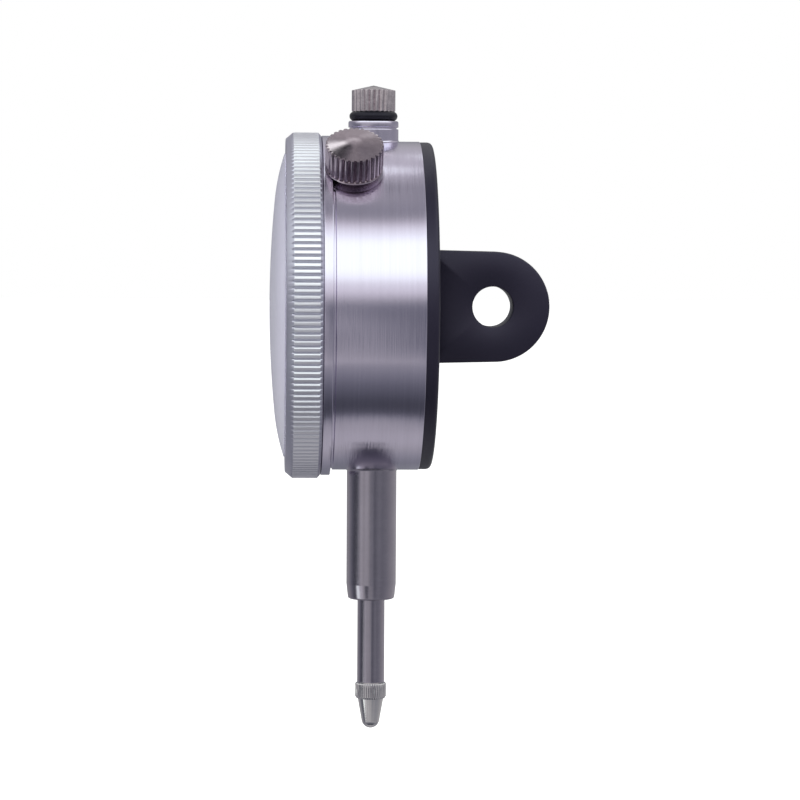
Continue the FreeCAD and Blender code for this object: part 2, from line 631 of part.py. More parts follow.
def case():
    body = piece("case")
    groove_front = "(-flange_front + flange_thick)"
    profile = outline(body, "barrel_profile", "XY_Plane", [
        ("web_bore", DIAL_SEAT), ("web_bore", WEB_REAR), (INNER_RADIUS, WEB_REAR),
        (INNER_RADIUS, "case_rear"), ("case_radius", "case_rear"),
        ("case_radius", f"{groove_front} + groove_width"),
        ("case_radius - groove_depth", f"{groove_front} + groove_width"),
        ("case_radius - groove_depth", groove_front),
        (f"{FLANGE_RADIUS} - flange_chamfer", groove_front),
        (FLANGE_RADIUS, f"{groove_front} - flange_chamfer"), (FLANGE_RADIUS, "-flange_front"),
        (SPIGOT_RADIUS, "-flange_front"), (SPIGOT_RADIUS, SNAP_REAR),
        (f"{SPIGOT_RADIUS} - snap_depth", SNAP_REAR), (f"{SPIGOT_RADIUS} - snap_depth", SNAP_FRONT),
        (SPIGOT_RADIUS, SNAP_FRONT), (SPIGOT_RADIUS, WEB_FRONT), ("dial_seat_radius", WEB_FRONT),
        ("dial_seat_radius", DIAL_SEAT)])
    turned(body, "barrel", profile)
    posts = circles(body, "boss_circles", "XZ_Plane", rounds(COVER_SCREWS, "cover_boss_radius"))
    padded(body, "cover_bosses", posts, WEB_REAR, "case_rear")
    top = outline(body, "top_boss_profile", "XZ_Plane", [
        ("0", f"{INNER_RADIUS} - boss_root"), ("top_boss_radius", f"{INNER_RADIUS} - boss_root"),
        ("top_boss_radius", f"{BOSS_TOP} - top_boss_round"),
        ("top_boss_radius - top_boss_round", BOSS_TOP), ("0", BOSS_TOP)],
        arcs={2: (True, "top_boss_round")})
    turned(body, "top_boss", top)
    foot = outline(body, "stem_boss_profile", "XZ_Plane", [
        ("0", STEM_TOP), ("stem_radius", STEM_TOP), ("stem_radius + stem_flare", "-case_radius"),
        ("stem_radius + stem_flare", "-case_radius + case_wall / 2"),
        ("stem_boss_radius", "-case_radius + case_wall / 2"),
        ("stem_boss_radius", "-case_radius + stem_neck_length"), ("0", "-case_radius + stem_neck_length")])
    turned(body, "stem_boss", foot)
    drum(body, "clamp_boss", False, "clamp_boss_radius", f"{CLAMP_SEAT} - {INNER_RADIUS} - boss_root",
         ("0", "-clamp_level", f"{INNER_RADIUS} + boss_root"), "clamp_angle")
    drum(body, "clamp_spot_face", True, "knob_radius + spot_margin", "knob_height",
         ("0", "-clamp_level", CLAMP_SEAT), "clamp_angle")
    drum(body, "clamp_bore", True, "knob_shank + knob_fit", f"{CLAMP_SEAT} - {SHOE_OUTER} + cut_past",
         ("0", "-clamp_level", SHOE_OUTER), "clamp_angle")
    block(body, "nose_notch", True,
          ("shoe_width + 2 * shoe_fit", f"{SHOE_FRONT} - {DIAL_SEAT} + shoe_fit",
           "shoe_nose_thick + shoe_throw + 2 * shoe_fit"),
          ("-shoe_width / 2 - shoe_fit", DIAL_SEAT, f"{SHOE_NOSE} - shoe_nose_thick - shoe_fit"),
          "clamp_angle")
    drum(body, "sleeve_bore", True, "sleeve_radius", "sleeve_length + cut_past",
         ("0", "0", f"{BOSS_TOP} - sleeve_length"))
    drum(body, "stem_bore_hole", True, "stem_neck_radius", "stem_neck_length + stem_root + 2 * cut_past",
         ("0", "0", f"{STEM_TOP} - cut_past"))
    hole_along_y(body, "counter_hole", COUNTER_X, COUNTER_Z, "bush_radius + arbor_room", DIAL_SEAT, WEB_REAR)
    small = circles(body, "web_screw_circles", "XZ_Plane",
                    rounds(MOVEMENT_SCREWS + DIAL_SCREWS, "small_screw_radius"))
    pocketed(body, "web_screw_holes", small, DIAL_SEAT, WEB_REAR)
    tapped = circles(body, "cover_screw_circles", "XZ_Plane", rounds(COVER_SCREWS, "cover_screw_radius"))
    pocketed(body, "cover_screw_holes", tapped, "case_rear - cover_screw_length", "case_rear")


def back_cover():
    body = piece("back_cover")
    rim = "(case_radius - cover_inset)"
    profile = outline(body, "disc_profile", "XY_Plane", [
        ("0", "case_rear"), (rim, "case_rear"), (rim, f"{COVER_REAR} - cover_round"),
        (f"{rim} - cover_round", COVER_REAR), ("0", COVER_REAR)],
        arcs={2: (True, "cover_round")})
    turned(body, "disc", profile)
    inner = f"({INNER_RADIUS} - cover_fit)"
    step = outline(body, "spigot_profile", "XY_Plane", [
        (f"{inner} - cover_spigot_wall", "case_rear - cover_spigot"), (inner, "case_rear - cover_spigot"),
        (inner, "case_rear"), (f"{inner} - cover_spigot_wall", "case_rear")])
    turned(body, "spigot", step)
    clear = circles(body, "boss_clearance", "XZ_Plane",
                    rounds(COVER_SCREWS, "cover_boss_radius + cover_boss_fit"))
    pocketed(body, "boss_notches", clear, "case_rear - cover_spigot", "case_rear")
    end = "(lug_reach + lug_end_shift)"
    web = outline(body, "lug_outline", "YZ_Plane", [
        ("case_rear", "-lug_root_half"), (end, "-lug_end_radius"), (end, "lug_end_radius"),
        ("case_rear", "lug_root_half")])
    plate = body.newObject("PartDesign::Pad", "lug_plate")
    plate.Profile = web
    plate.Midplane = True
    bind(plate, "Length", "lug_thick")
    tip = body.newObject("PartDesign::Pad", "lug_end")
    tip.Profile = circles(body, "lug_end_circle", "YZ_Plane", [(end, "0", "lug_end_radius")])
    tip.Midplane = True
    bind(tip, "Length", "lug_thick")
    doc.recompute()
    half = number("lug_thick") / 2
    rims = [f"Edge{index}" for index, edge in enumerate(tip.Shape.Edges, start=1)
            if all(abs(abs(corner.X) - half) < SAME_PLACE for corner in edge.Vertexes)
            and edge.BoundBox.YMax > number(COVER_REAR) + SAME_PLACE and edge.BoundBox.XLength < SAME_PLACE]
    soft = body.newObject("PartDesign::Fillet", "lug_edges")
    soft.Base = (tip, rims)
    bind(soft, "Radius", "lug_edge")
    bore = body.newObject("PartDesign::Pocket", "lug_hole")
    bore.Profile = circles(body, "lug_hole_circle", "YZ_Plane", [("lug_reach", "0", "lug_hole_radius")])
    bore.Type = "ThroughAll"
    bore.Midplane = True
    shanks = circles(body, "screw_circles", "XZ_Plane", rounds(COVER_SCREWS, "cover_screw_radius"))
    pocketed(body, "screw_holes", shanks, "case_rear", COVER_REAR)
    heads = circles(body, "head_circles", "XZ_Plane", rounds(COVER_SCREWS, "cover_head_radius + cover_fit"))
    pocketed(body, "head_recesses", heads, f"{COVER_REAR} - cover_head_height", COVER_REAR)


def cover_screws():
    seat = f"({COVER_REAR} - cover_head_height)"
    group("cover_screws", [
        screw(x, z, seat, f"({seat} - cover_screw_length)", "cover_screw_radius", "cover_head_radius",
              "cover_head_height", 1) for x, z in COVER_SCREWS])


def stem():
    body = piece("stem")
    neck_top = "-case_radius + stem_neck_length"
    profile = outline(body, "tube_profile", "XZ_Plane", [
        ("stem_bore", neck_top), ("stem_neck_radius", neck_top), ("stem_neck_radius", STEM_TOP),
        ("stem_radius", STEM_TOP), ("stem_radius", f"{STEM_TOP} - stem_grip"),
        ("stem_end_radius", STEM_BOTTOM), ("stem_bore", STEM_BOTTOM)])
    turned(body, "tube", profile)


def stem_bush():
    body = piece("stem_bush")
    bore = "spindle_radius + spindle_fit"
    low = f"{STEM_BOTTOM} + bush_inset"
    profile = outline(body, "bush_profile", "XZ_Plane", [
        (bore, low), ("stem_bore", low), ("stem_bore", f"{low} + stem_bush_length"),
        (bore, f"{low} + stem_bush_length")])
    turned(body, "bush", profile)


def upper_sleeve():
    body = piece("upper_sleeve")
    bore = "spindle_radius + spindle_fit"
    low = f"{BOSS_TOP} - sleeve_length"
    collar = f"({BOSS_TOP} + sleeve_neck)"
    profile = outline(body, "sleeve_profile", "XZ_Plane", [
        (bore, low), ("sleeve_radius", low), ("sleeve_radius", BOSS_TOP),
        ("sleeve_neck_radius", BOSS_TOP), ("sleeve_neck_radius", collar),
        ("stem_radius - collar_round", collar), ("stem_radius", f"{collar} + collar_round"),
        ("stem_radius", f"{SLEEVE_TOP} - collar_round"), ("stem_radius - collar_round", SLEEVE_TOP),
        (bore, SLEEVE_TOP)],
        arcs={5: (True, "collar_round"), 7: (True, "collar_round")})
    turned(body, "sleeve", profile)


# Spindle and what rides on it


def spindle():
    body = piece("spindle")
    well = f"({SPINDLE_LOW} + contact_shank_length)"
    profile = outline(body, "rod_profile", "XZ_Plane", [
        ("contact_shank", SPINDLE_LOW), ("spindle_radius", SPINDLE_LOW), ("spindle_radius", CAP_BASE),
        ("stud_radius", CAP_BASE), ("stud_radius", f"{CAP_BASE} + stud_length"),
        ("0", f"{CAP_BASE} + stud_length"), ("0", well), ("contact_shank", well)])
    turned(body, "rod", profile)
    tip = f"(rack_line + addendum * {MODULE})"
    root = f"(rack_line - dedendum * {MODULE})"
    steps = f"(floor((travel + 2 * rack_spare) / rack_pitch))"
    block(body, "rack_flat", True,
          (f"spindle_radius - {tip} + cut_past", "2 * spindle_radius", f"({steps} + 1) * rack_pitch"),
          ("-spindle_radius - cut_past", "-spindle_radius",
           f"{PINION_Z} - (floor((travel + rack_spare) / rack_pitch) + 0.5) * rack_pitch"))
    slope = "tan(flank_angle * 1deg)"
    wide = f"(rack_pitch / 4 + backlash / 2 + ({tip} - rack_line) * {slope})"
    narrow = f"(rack_pitch / 4 + backlash / 2 - (rack_line - {root}) * {slope})"
    level = f"({PINION_Z} - floor((travel + rack_spare) / rack_pitch) * rack_pitch)"
    gap = outline(body, "rack_gap", "XZ_Plane", [
        (f"-{tip}", f"{level} - {wide}"), (f"-{root}", f"{level} - {narrow}"),
        (f"-{root}", f"{level} + {narrow}"), (f"-{tip}", f"{level} + {wide}")])
    cut = body.newObject("PartDesign::Pocket", "rack_cut")
    cut.Profile = gap
    cut.Type = "ThroughAll"
    cut.Midplane = True
    teeth = body.newObject("PartDesign::LinearPattern", "rack_teeth")
    teeth.Originals = [cut]
    teeth.Direction = (gap, ["V_Axis"])
    bind(teeth, "Length", f"{steps} * rack_pitch")
    bind(teeth, "Occurrences", f"{steps} + 1")
    body.Tip = teeth
    doc.recompute()
    seat = body.newObject("PartDesign::SubtractiveCylinder", "guide_pin_hole")
    bind(seat, "Radius", "guide_pin_radius")
    bind(seat, "Height", "2 * spindle_radius")
    seat.AttachmentSupport = [(plane(body, "YZ_Plane"), "")]
    seat.MapMode = "FlatFace"
    bind(seat, "AttachmentOffset.Base.y", "guide_low")
    bind(seat, "AttachmentOffset.Base.z", "-guide_pin_radius")


def guide_pin():
    body = piece("guide_pin", z="guide_low")
    end = f"({SPRING_PIN_END} + guide_pin_over)"
    waist = "(guide_pin_radius - spring_wire)"
    profile = outline(body, "pin_profile", "XZ_Plane", [
        ("-guide_pin_radius", "0"), (end, "0"), (end, "guide_pin_radius"),
        ("spring_offset + 2 * spring_wire", "guide_pin_radius"), ("spring_offset + 2 * spring_wire", waist),
        ("spring_offset - 2 * spring_wire", waist), ("spring_offset - 2 * spring_wire", "guide_pin_radius"),
        ("-guide_pin_radius", "guide_pin_radius")])
    turned(body, "pin", profile, "H_Axis")


def fluted(body, profile, radius, depth, count, bottom, top):
    """V flutes along Z round a turned head."""
    angle = f"(flute_half * 360deg / {count})"
    along = f"(({radius} + flute_over) * cos({angle}))"
    across = f"(({radius} + flute_over) * sin({angle}))"
    vee = outline(body, "flute_outline", "XY_Plane", [
        (f"{radius} - {depth}", "0"), (along, across), (along, f"-{across}")], level=top)
    cut = body.newObject("PartDesign::Pocket", "flute")
    cut.Profile = vee
    bind(cut, "Length", f"({top}) - ({bottom})")
    patterned(body, "flutes", cut, profile, count)


def lifting_cap():
    body = piece("lifting_cap")
    shoulder = f"({CAP_BASE} + cap_height)"
    top = f"({shoulder} + cap_cone)"
    well = f"({CAP_BASE} + stud_length + stud_play)"
    profile = outline(body, "cap_profile", "XZ_Plane", [
        ("stud_radius", CAP_BASE), ("cap_radius", CAP_BASE), ("cap_radius", shoulder), ("0", top),
        ("0", well), ("stud_radius", well)])
    turned(body, "cap", profile)
    fluted(body, profile, "cap_radius", "cap_flute_depth", "cap_flutes", CAP_BASE, top)


def bumper_ring():
    body = piece("bumper_ring")
    section = circles(body, "ring_section", "XZ_Plane",
                      [("bumper_radius - bumper_section / 2", f"{SLEEVE_TOP} + bumper_section / 2",
                        "bumper_section / 2")])
    turned(body, "ring", section)


def contact_point():
    body = piece("contact_point")
    low = f"({CONTACT_TOP} - contact_collar)"
    tip = f"({low} - contact_length)"
    ball = f"({tip} + contact_ball)"
    touch = f"({ball} - contact_ball * sin(contact_angle * 1deg))"
    neck = "(contact_cone_radius - contact_undercut)"
    top = f"({SPINDLE_LOW} + contact_shank_length)"
    profile = outline(body, "point_profile", "XZ_Plane", [
        ("0", top), ("0", tip), ("contact_ball * cos(contact_angle * 1deg)", touch),
        (f"contact_ball * cos(contact_angle * 1deg) + ({low} - {touch}) * tan(contact_angle * 1deg)", low),
        ("contact_collar_radius - contact_edge", low), ("contact_collar_radius", f"{low} + contact_edge"),
        ("contact_collar_radius", f"{CONTACT_TOP} - contact_edge / 2"),
        ("contact_collar_radius - contact_edge / 2", CONTACT_TOP), (neck, CONTACT_TOP), (neck, SPINDLE_LOW),
        ("contact_shank", SPINDLE_LOW), ("contact_shank", top)],
        arcs={1: (True, "contact_ball")})
    turned(body, "point", profile)


# Bezel, crystal and dial


def bezel_ring():
    body = piece("bezel_ring")
    profile = outline(body, "bezel_profile", "XY_Plane", [
        (BEZEL_BORE, BEZEL_REAR), (FLANGE_RADIUS, BEZEL_REAR),
        (BEZEL_RADIUS, f"{BEZEL_REAR} - bezel_rear_chamfer"),
        (BEZEL_RADIUS, f"{BEZEL_FRONT} + bezel_front_chamfer"),
        (f"{BEZEL_RADIUS} - bezel_front_drop", BEZEL_FRONT), (LIP_RADIUS, BEZEL_FRONT),
        (LIP_RADIUS, LIP_REAR), (BEZEL_BORE, LIP_REAR), (BEZEL_BORE, SNAP_FRONT),
        (f"{BEZEL_BORE} + snap_depth", SNAP_FRONT), (f"{BEZEL_BORE} + snap_depth", SNAP_REAR),
        (BEZEL_BORE, SNAP_REAR)])
    turned(body, "bezel", profile)
    half = "(flute_width / 2 * (flute_depth + flute_past) / flute_depth)"
    vee = outline(body, "flute_outline", "XZ_Plane", [
        (f"{BEZEL_RADIUS} - flute_depth", "0"), (f"{BEZEL_RADIUS} + flute_past", half),
        (f"{BEZEL_RADIUS} + flute_past", f"-{half}")])
    cut = pocketed(body, "flute", vee, BEZEL_FRONT, BEZEL_REAR)
    patterned(body, "flutes", cut, profile, "bezel_flutes")


def flat_ring(label, outer, inner, front, rear):
    body = piece(label)
    profile = outline(body, label + "_profile", "XY_Plane",
                      [(inner, front), (outer, front), (outer, rear), (inner, rear)])
    turned(body, label + "_ring", profile)


def snap_wire():
    """An open ring that holds the bezel on the spigot, with its gap at the clamp nose."""
    body = piece("bezel_snap_wire")
    inner = f"({SPIGOT_RADIUS} - snap_depth + snap_float)"
    front = f"({SNAP_MIDDLE} - snap_wire / 2)"
    rear = f"({SNAP_MIDDLE} + snap_wire / 2)"
    profile = outline(body, "wire_profile", "XY_Plane", [
        (inner, front), (f"{inner} + snap_wire", front), (f"{inner} + snap_wire", rear), (inner, rear)])
    turned(body, "wire", profile)
    half = f"({SPIGOT_RADIUS} * sin(snap_gap_angle * 0.5deg))"
    block(body, "opening", True, (f"2 * {half}", "spigot_length", SPIGOT_RADIUS),
          (f"-{half}", WEB_FRONT, f"{SPIGOT_RADIUS} / 2"), "clamp_angle")


def crystal():
    body = piece("crystal")
    foot = f"({LIP_RADIUS} - crystal_lip_fit)"
    profile = outline(body, "dome_profile", "XY_Plane", [
        ("0", CRYSTAL_APEX), (CRYSTAL_BREAK, f"{CRYSTAL_APEX} + {CRYSTAL_SAG}"),
        (foot, f"{BEZEL_FRONT} - crystal_drop"), (foot, LIP_REAR),
        (CRYSTAL_RADIUS, LIP_REAR), (CRYSTAL_RADIUS, CRYSTAL_REAR),
        (f"{LIP_RADIUS} - crystal_thick", CRYSTAL_REAR),
        (f"{CRYSTAL_BREAK} - crystal_knee", f"{CRYSTAL_APEX} + {CRYSTAL_SAG} + crystal_thick"),
        ("0", f"{CRYSTAL_APEX} + crystal_thick")],
        arcs={0: (True, "crystal_flat_arc"), 1: (True, "crystal_edge_arc"),
              6: (False, "crystal_edge_arc"), 7: (False, "crystal_flat_arc")})
    turned(body, "dome", profile)


def dial_plate():
    body = piece("dial_plate")
    disc = circles(body, "plate_circle", "XZ_Plane", [("0", "0", DIAL_PLATE_RADIUS)])
    padded(body, "plate", disc, DIAL_FRONT, DIAL_SEAT)
    holes = circles(body, "plate_holes", "XZ_Plane",
                    [("0", "0", "dial_bore"), (COUNTER_X, COUNTER_Z, "dial_counter_bore")]
                    + rounds(DIAL_SCREWS, "small_screw_radius"))
    pocketed(body, "holes", holes, DIAL_FRONT, DIAL_SEAT)


def dial_screws():
    group("dial_screws", [
        screw(x, z, DIAL_FRONT, WEB_FRONT, "small_screw_radius", "small_head_radius",
              "small_head_height", -1) for x, z in DIAL_SCREWS])


# Movement plates


def front_plate():
    body = piece("front_plate")
    disc = circles(body, "plate_circle", "XZ_Plane", [("0", "0", PLATE_RADIUS)])
    padded(body, "plate", disc, WEB_REAR, PLATE_REAR)
    holes = circles(body, "plate_holes", "XZ_Plane",
                    rounds([CENTRE, PINION, COUNTER], "bush_radius") + rounds(PILLARS, "pillar_stud")
                    + rounds(MOVEMENT_SCREWS + COCK_FEET, "small_screw_radius"))
    pocketed(body, "holes", holes, WEB_REAR, PLATE_REAR)


def rear_plate():
    body = piece("rear_plate")
    disc = circles(body, "plate_circle", "XZ_Plane", [("0", "0", PLATE_RADIUS)])
    padded(body, "plate", disc, "rear_plate_front", REAR_PLATE_REAR)
    stud = (f"({COUNTER_X} - {HAIR_OUTER})", COUNTER_Z)
    post = ("spring_offset", "-post_drop")
    holes = circles(body, "plate_holes", "XZ_Plane",
                    rounds([PINION, COUNTER], "bush_radius")
                    + rounds(PILLARS + GUIDE_SCREWS, "small_screw_radius")
                    + rounds([stud, post], "post_radius"))
    pocketed(body, "holes", holes, "rear_plate_front", REAR_PLATE_REAR)


def plate_pillars():
    members = []
    for x, z in PILLARS:
        solid = joined(bar("pillar_radius", x, z, PLATE_REAR, "rear_plate_front"),
                       bar("pillar_stud", x, z, WEB_REAR, PLATE_REAR))
        members.append(cut_from(solid, bar("small_screw_radius", x, z, "rear_plate_front - tap_depth",
                                           "rear_plate_front")))
    group("plate_pillars", members)


def movement_screws():
    size = ("small_screw_radius", "small_head_radius", "small_head_height", 1)
    grip = "(rear_plate_front - screw_grip)"
    group("plate_screws", [screw(x, z, REAR_PLATE_REAR, grip, *size) for x, z in PILLARS])
    group("movement_screws", [screw(x, z, PLATE_REAR, f"({WEB_FRONT} + web_cover)", *size)
                              for x, z in MOVEMENT_SCREWS])
    group("cock_screws", [screw(x, z, "(cock_thick - cock_front)", WEB_REAR, *size) for x, z in COCK_FEET])
    group("guide_screws", [screw(x, z, REAR_PLATE_REAR, grip, *size) for x, z in GUIDE_SCREWS])


def centre_cock():
    """The bridge that carries the rear pivot of the pointer arbor in front of the spindle."""
    body = piece("centre_cock")
    rear = "(cock_thick - cock_front)"
    feet = circles(body, "feet_circles", "XZ_Plane", rounds(COCK_FEET, "cock_foot_radius"))
    padded(body, "feet", feet, PLATE_REAR, rear)
    web = outline(body, "bridge_outline", "XZ_Plane", [
        ("-cock_foot_radius", "-cock_foot_radius"), ("cock_low_x - cock_foot_radius", "cock_low_z"),
        ("cock_low_x", "cock_low_z - cock_foot_radius"), ("cock_right_x", "cock_right_z - cock_foot_radius"),
        ("cock_right_x", "cock_right_z + cock_foot_radius"), ("cock_foot_radius", "cock_foot_radius"),
        ("-cock_foot_radius", "cock_foot_radius")])
    padded(body, "bridge", web, "-cock_front", rear)
    holes = circles(body, "bridge_holes", "XZ_Plane",
                    [("0", "0", "bush_radius")] + rounds(COCK_FEET, "small_screw_radius"))
    pocketed(body, "holes", holes, PLATE_REAR, rear)


def bearing_bushes():
    rear = "(cock_thick - cock_front)"
    arbor = "(arbor_radius + pivot_fit)"
    pivot = "(pivot_radius + pivot_fit)"
    members = [
        ring_of("bush_radius", arbor, *CENTRE, WEB_REAR, PLATE_REAR),
        ring_of("bush_radius", arbor, *COUNTER, WEB_REAR, PLATE_REAR),
        ring_of("bush_radius", pivot, *PINION, WEB_REAR, PLATE_REAR),
        ring_of("bush_radius", pivot, *PINION, "rear_plate_front", REAR_PLATE_REAR),
        ring_of("bush_radius", pivot, *COUNTER, "rear_plate_front", REAR_PLATE_REAR),
        ring_of("bush_radius", pivot, *CENTRE, "-cock_front", rear)]
    group("bearing_bushes", members)


def guide_rail():
    """The slotted rail that keeps the spindle from turning."""
    body = piece("guide_rail")
    low = f"({GUIDE_LOW} - guide_end)"
    block(body, "rail", False,
          ("guide_thick", "guide_front + rear_plate_front", f"{GUIDE_HIGH} + guide_end - {low}"),
          ("guide_near", "-guide_front", low))
    half = "(guide_pin_radius + guide_fit)"
    block(body, "slot", True, ("guide_thick", f"2 * {half}", f"{GUIDE_HIGH} - {GUIDE_LOW}"),
          ("guide_near", f"-{half}", GUIDE_LOW))
    tapped = circles(body, "screw_circles", "XZ_Plane", rounds(GUIDE_SCREWS, "small_screw_radius"))
    pocketed(body, "screw_holes", tapped, "rear_plate_front - tap_depth", "rear_plate_front")


def stud(label, x, z, front, radius):
    """A headed post on the rear plate."""
    body = piece(label, x=x, z=z)
    profile = outline(body, label + "_profile", "XY_Plane", [
        ("0", front), (f"post_head * {radius}", front),
        (f"post_head * {radius}", f"{front} + post_head_height"), (radius, f"{front} + post_head_height"),
        (radius, REAR_PLATE_REAR), ("0", REAR_PLATE_REAR)])
    turned(body, label + "_post", profile)


# Gear train


def arbor(label, place_at, steps, rear, teeth=None, phase="0"):
    """A turned arbor of steps, each a front end and a radius, with a cut pinion where teeth are given."""
    body = piece(label, x=place_at[0], z=place_at[1])
    points = [("0", steps[0][0])]
    for (front, radius), (until, following) in zip(steps, steps[1:] + [(rear, "0")]):
        points += [(radius, front), (radius, until)]
    points.append(("0", rear))
    if teeth:
        toothed(body, label + "_pinion", *teeth, phase)
        doc.recompute()
    turned(body, label + "_shaft", outline(body, label + "_profile", "XY_Plane", points))


def rack_pinion():
    half = "pinion_width / 2"
    steps = [(WEB_REAR, "pivot_radius"), (f"{PLATE_REAR} + arbor_shake", "arbor_radius"),
             ("rear_plate_front - arbor_shake", "pivot_radius")]
    arbor("rack_pinion", PINION, steps, REAR_PLATE_REAR, ("pinion_teeth", f"-{half}", half),
          "180 / pinion_teeth")


def wheel(label, place_at, level, phase, hub_front, hub_rear):
    """A spoked wheel with its boss, pressed on an arbor."""
    front = f"(-{level} - wheel_thick)"
    rear = f"(-{level})"
    body = piece(label, x=place_at[0], z=place_at[1])
    toothed(body, label + "_rim", "wheel_teeth", front, rear, phase)
    doc.recompute()
    rim = f"({MODULE} * wheel_teeth / 2 - wheel_rim)"
    start = "(asin(spoke_width / 2 / wheel_hub) / 1deg)"
    stop = f"(asin(spoke_width / 2 / {rim}) / 1deg)"
    window = outline(body, label + "_window", "XZ_Plane", [
        at("wheel_hub", start), at(rim, stop), at(rim, f"90 - {stop}"), at("wheel_hub", f"90 - {start}")],
        arcs={1: (True, rim), 3: (False, "wheel_hub")})
    cut = pocketed(body, label + "_window_cut", window, front, rear)
    spokes = body.newObject("PartDesign::PolarPattern", label + "_spokes")
    spokes.Originals = [cut]
    spokes.Axis = (plane(body, "Y_Axis"), [""])
    spokes.Angle = 360
    spokes.Occurrences = 4
    body.Tip = spokes
    doc.recompute()
    boss = circles(body, label + "_boss_circle", "XZ_Plane", [("0", "0", "wheel_hub * wheel_boss")])
    padded(body, label + "_boss", boss, hub_front, hub_rear)
    hole_along_y(body, label + "_bore", "0", "0", "arbor_radius", hub_front, hub_rear)


def transfer_wheel():
    wheel("transfer_wheel", PINION, "transfer_level", f"{PINION_ANGLE} - 180",
          "(-transfer_level - wheel_thick)", "(-transfer_level + wheel_boss_height)")


def centre_pinion():
    front = "(-transfer_level - wheel_thick - pinion_over)"
    rear = "(pinion_over - counter_level)"
    tip = "(-pointer_level - hand_thick - pointer_hub_height)"
    arbor("centre_pinion", CENTRE, [(tip, "arbor_radius"), ("(-cock_front - arbor_shake)", "pivot_radius")],
          "(cock_thick - cock_front)", ("centre_teeth", front, rear),
          f"{PINION_ANGLE} + 180 / centre_teeth")


def counter_arbor():
    tip = "(-counter_hand_level - hand_thick - counter_over)"
    arbor("counter_arbor", COUNTER,
          [(tip, "arbor_radius"), ("(rear_plate_front - arbor_shake)", "pivot_radius")],
          REAR_PLATE_REAR)


def counter_wheel():
    """The wheel is turned so that its gap meets the pinion tooth nearest to the line of centres."""
    turns = "((counter_angle - {angle}) * centre_teeth / 360)".format(angle=PINION_ANGLE)
    ahead = f"((ceil({turns}) - {turns}) * 360 / centre_teeth)"
    phase = f"counter_angle - 180 - {ahead} * centre_teeth / wheel_teeth"
    wheel("counter_wheel", COUNTER, "counter_level", phase,
          "(-counter_level - wheel_thick)", "(-counter_level + wheel_boss_height)")


def hairspring_collet():
    body = piece("hairspring_collet", x=COUNTER_X, z=COUNTER_Z)
    disc = circles(body, "collet_circle", "XZ_Plane", [("0", "0", "hair_inner - collet_gap")])
    padded(body, "collet", disc, f"{HAIR_LEVEL} - hair_width", f"{HAIR_LEVEL} + hair_width")
    hole_along_y(body, "collet_bore", "0", "0", "arbor_radius", f"{HAIR_LEVEL} - hair_width",
                 f"{HAIR_LEVEL} + hair_width")


def hairspring():
    """A flat spiral strip that takes up the backlash of the train."""
    inner = number("hair_inner")
    step = number("hair_step")
    turns = number("hair_turns")
    half = number("hair_thick") / 2
    short = number(f"(post_radius + hair_gap) / {HAIR_OUTER}")
    sweep = math.tau * turns - short
    count = int(turns * 24)

    def spiral(shift):
        points = []
        for index in range(count + 1):
            turned_by = sweep * index / count
            angle = math.pi - math.tau * turns + turned_by
            radius = inner + step * turned_by / math.tau + shift
            points.append(FreeCAD.Vector(radius * math.cos(angle), 0, radius * math.sin(angle)))
        curve = Part.BSplineCurve()
        curve.interpolate(points)
        return curve.toShape()

    near = spiral(-half)
    far = spiral(half)
    ends = [Part.makeLine(near.valueAt(near.FirstParameter), far.valueAt(far.FirstParameter)),
            Part.makeLine(near.valueAt(near.LastParameter), far.valueAt(far.LastParameter))]
    face = Part.Face(Part.Wire(Part.__sortEdges__([near, ends[1], far, ends[0]])))
    strip = face.extrude(FreeCAD.Vector(0, number("hair_width"), 0))
    strip.translate(FreeCAD.Vector(0, -number("hair_width") / 2, 0))
    made = doc.addObject("Part::Feature", "hairspring")
    made.Label = "hairspring"
    made.Shape = strip
    bind(made, "Placement.Base.x", COUNTER_X)
    bind(made, "Placement.Base.y", HAIR_LEVEL)
    bind(made, "Placement.Base.z", f"{DIAL_HEIGHT} + {COUNTER_Z}")
    NODES.append(made)


def return_spring():
    """An extension spring between the guide pin and the lower post: a coil with a hook at each end."""
    wire = number("spring_wire")
    radius = number("spring_radius")
    low = -number("post_drop") + number("spring_lead")
    high = number("guide_low") - number("spring_lead")
    pitch = (high - low) / number("spring_turns")
    helix = Part.makeHelix(pitch, high - low, radius)
    section = Part.makeCircle(wire, FreeCAD.Vector(radius, 0, 0),
                              FreeCAD.Vector(0, math.tau * radius, pitch))
    coil = Part.Wire(helix).makePipeShell([Part.Wire(section)], True, True)
    coil.translate(FreeCAD.Vector(0, 0, low))
    upper = spring_hook(high - pitch, number("guide_low"), FreeCAD.Vector(0, 1, 0))
    lower = spring_hook(low + pitch / 4, -number("post_drop"), FreeCAD.Vector(1, 0, 0))
    made = doc.addObject("Part::Feature", "return_spring")
    made.Label = "return_spring"
    made.Shape = Part.makeCompound([coil, upper, lower])
    bind(made, "Placement.Base.x", "spring_offset")
    bind(made, "Placement.Base.z", DIAL_HEIGHT)
    NODES.append(made)


def spring_hook(start, eye, side):
    """A straight leg inside the coil, then three quarters of a loop round the eye's middle."""
    wire = number("spring_wire")
    loop = number("spring_radius") - 2 * wire
    up = FreeCAD.Vector(0, 0, 1 if eye > start else -1)
    middle = FreeCAD.Vector(0, 0, eye)
    foot = side * loop + FreeCAD.Vector(0, 0, start)
    over = middle + (up - side) * loop / math.sqrt(2)
    leg = Part.makeLine(foot, middle + side * loop)
    bend = Part.Arc(middle + side * loop, over, middle - up * loop).toShape()
    section = Part.Wire(Part.makeCircle(wire, foot, up))
    return Part.Wire([leg, bend]).makePipeShell([section], True, True)


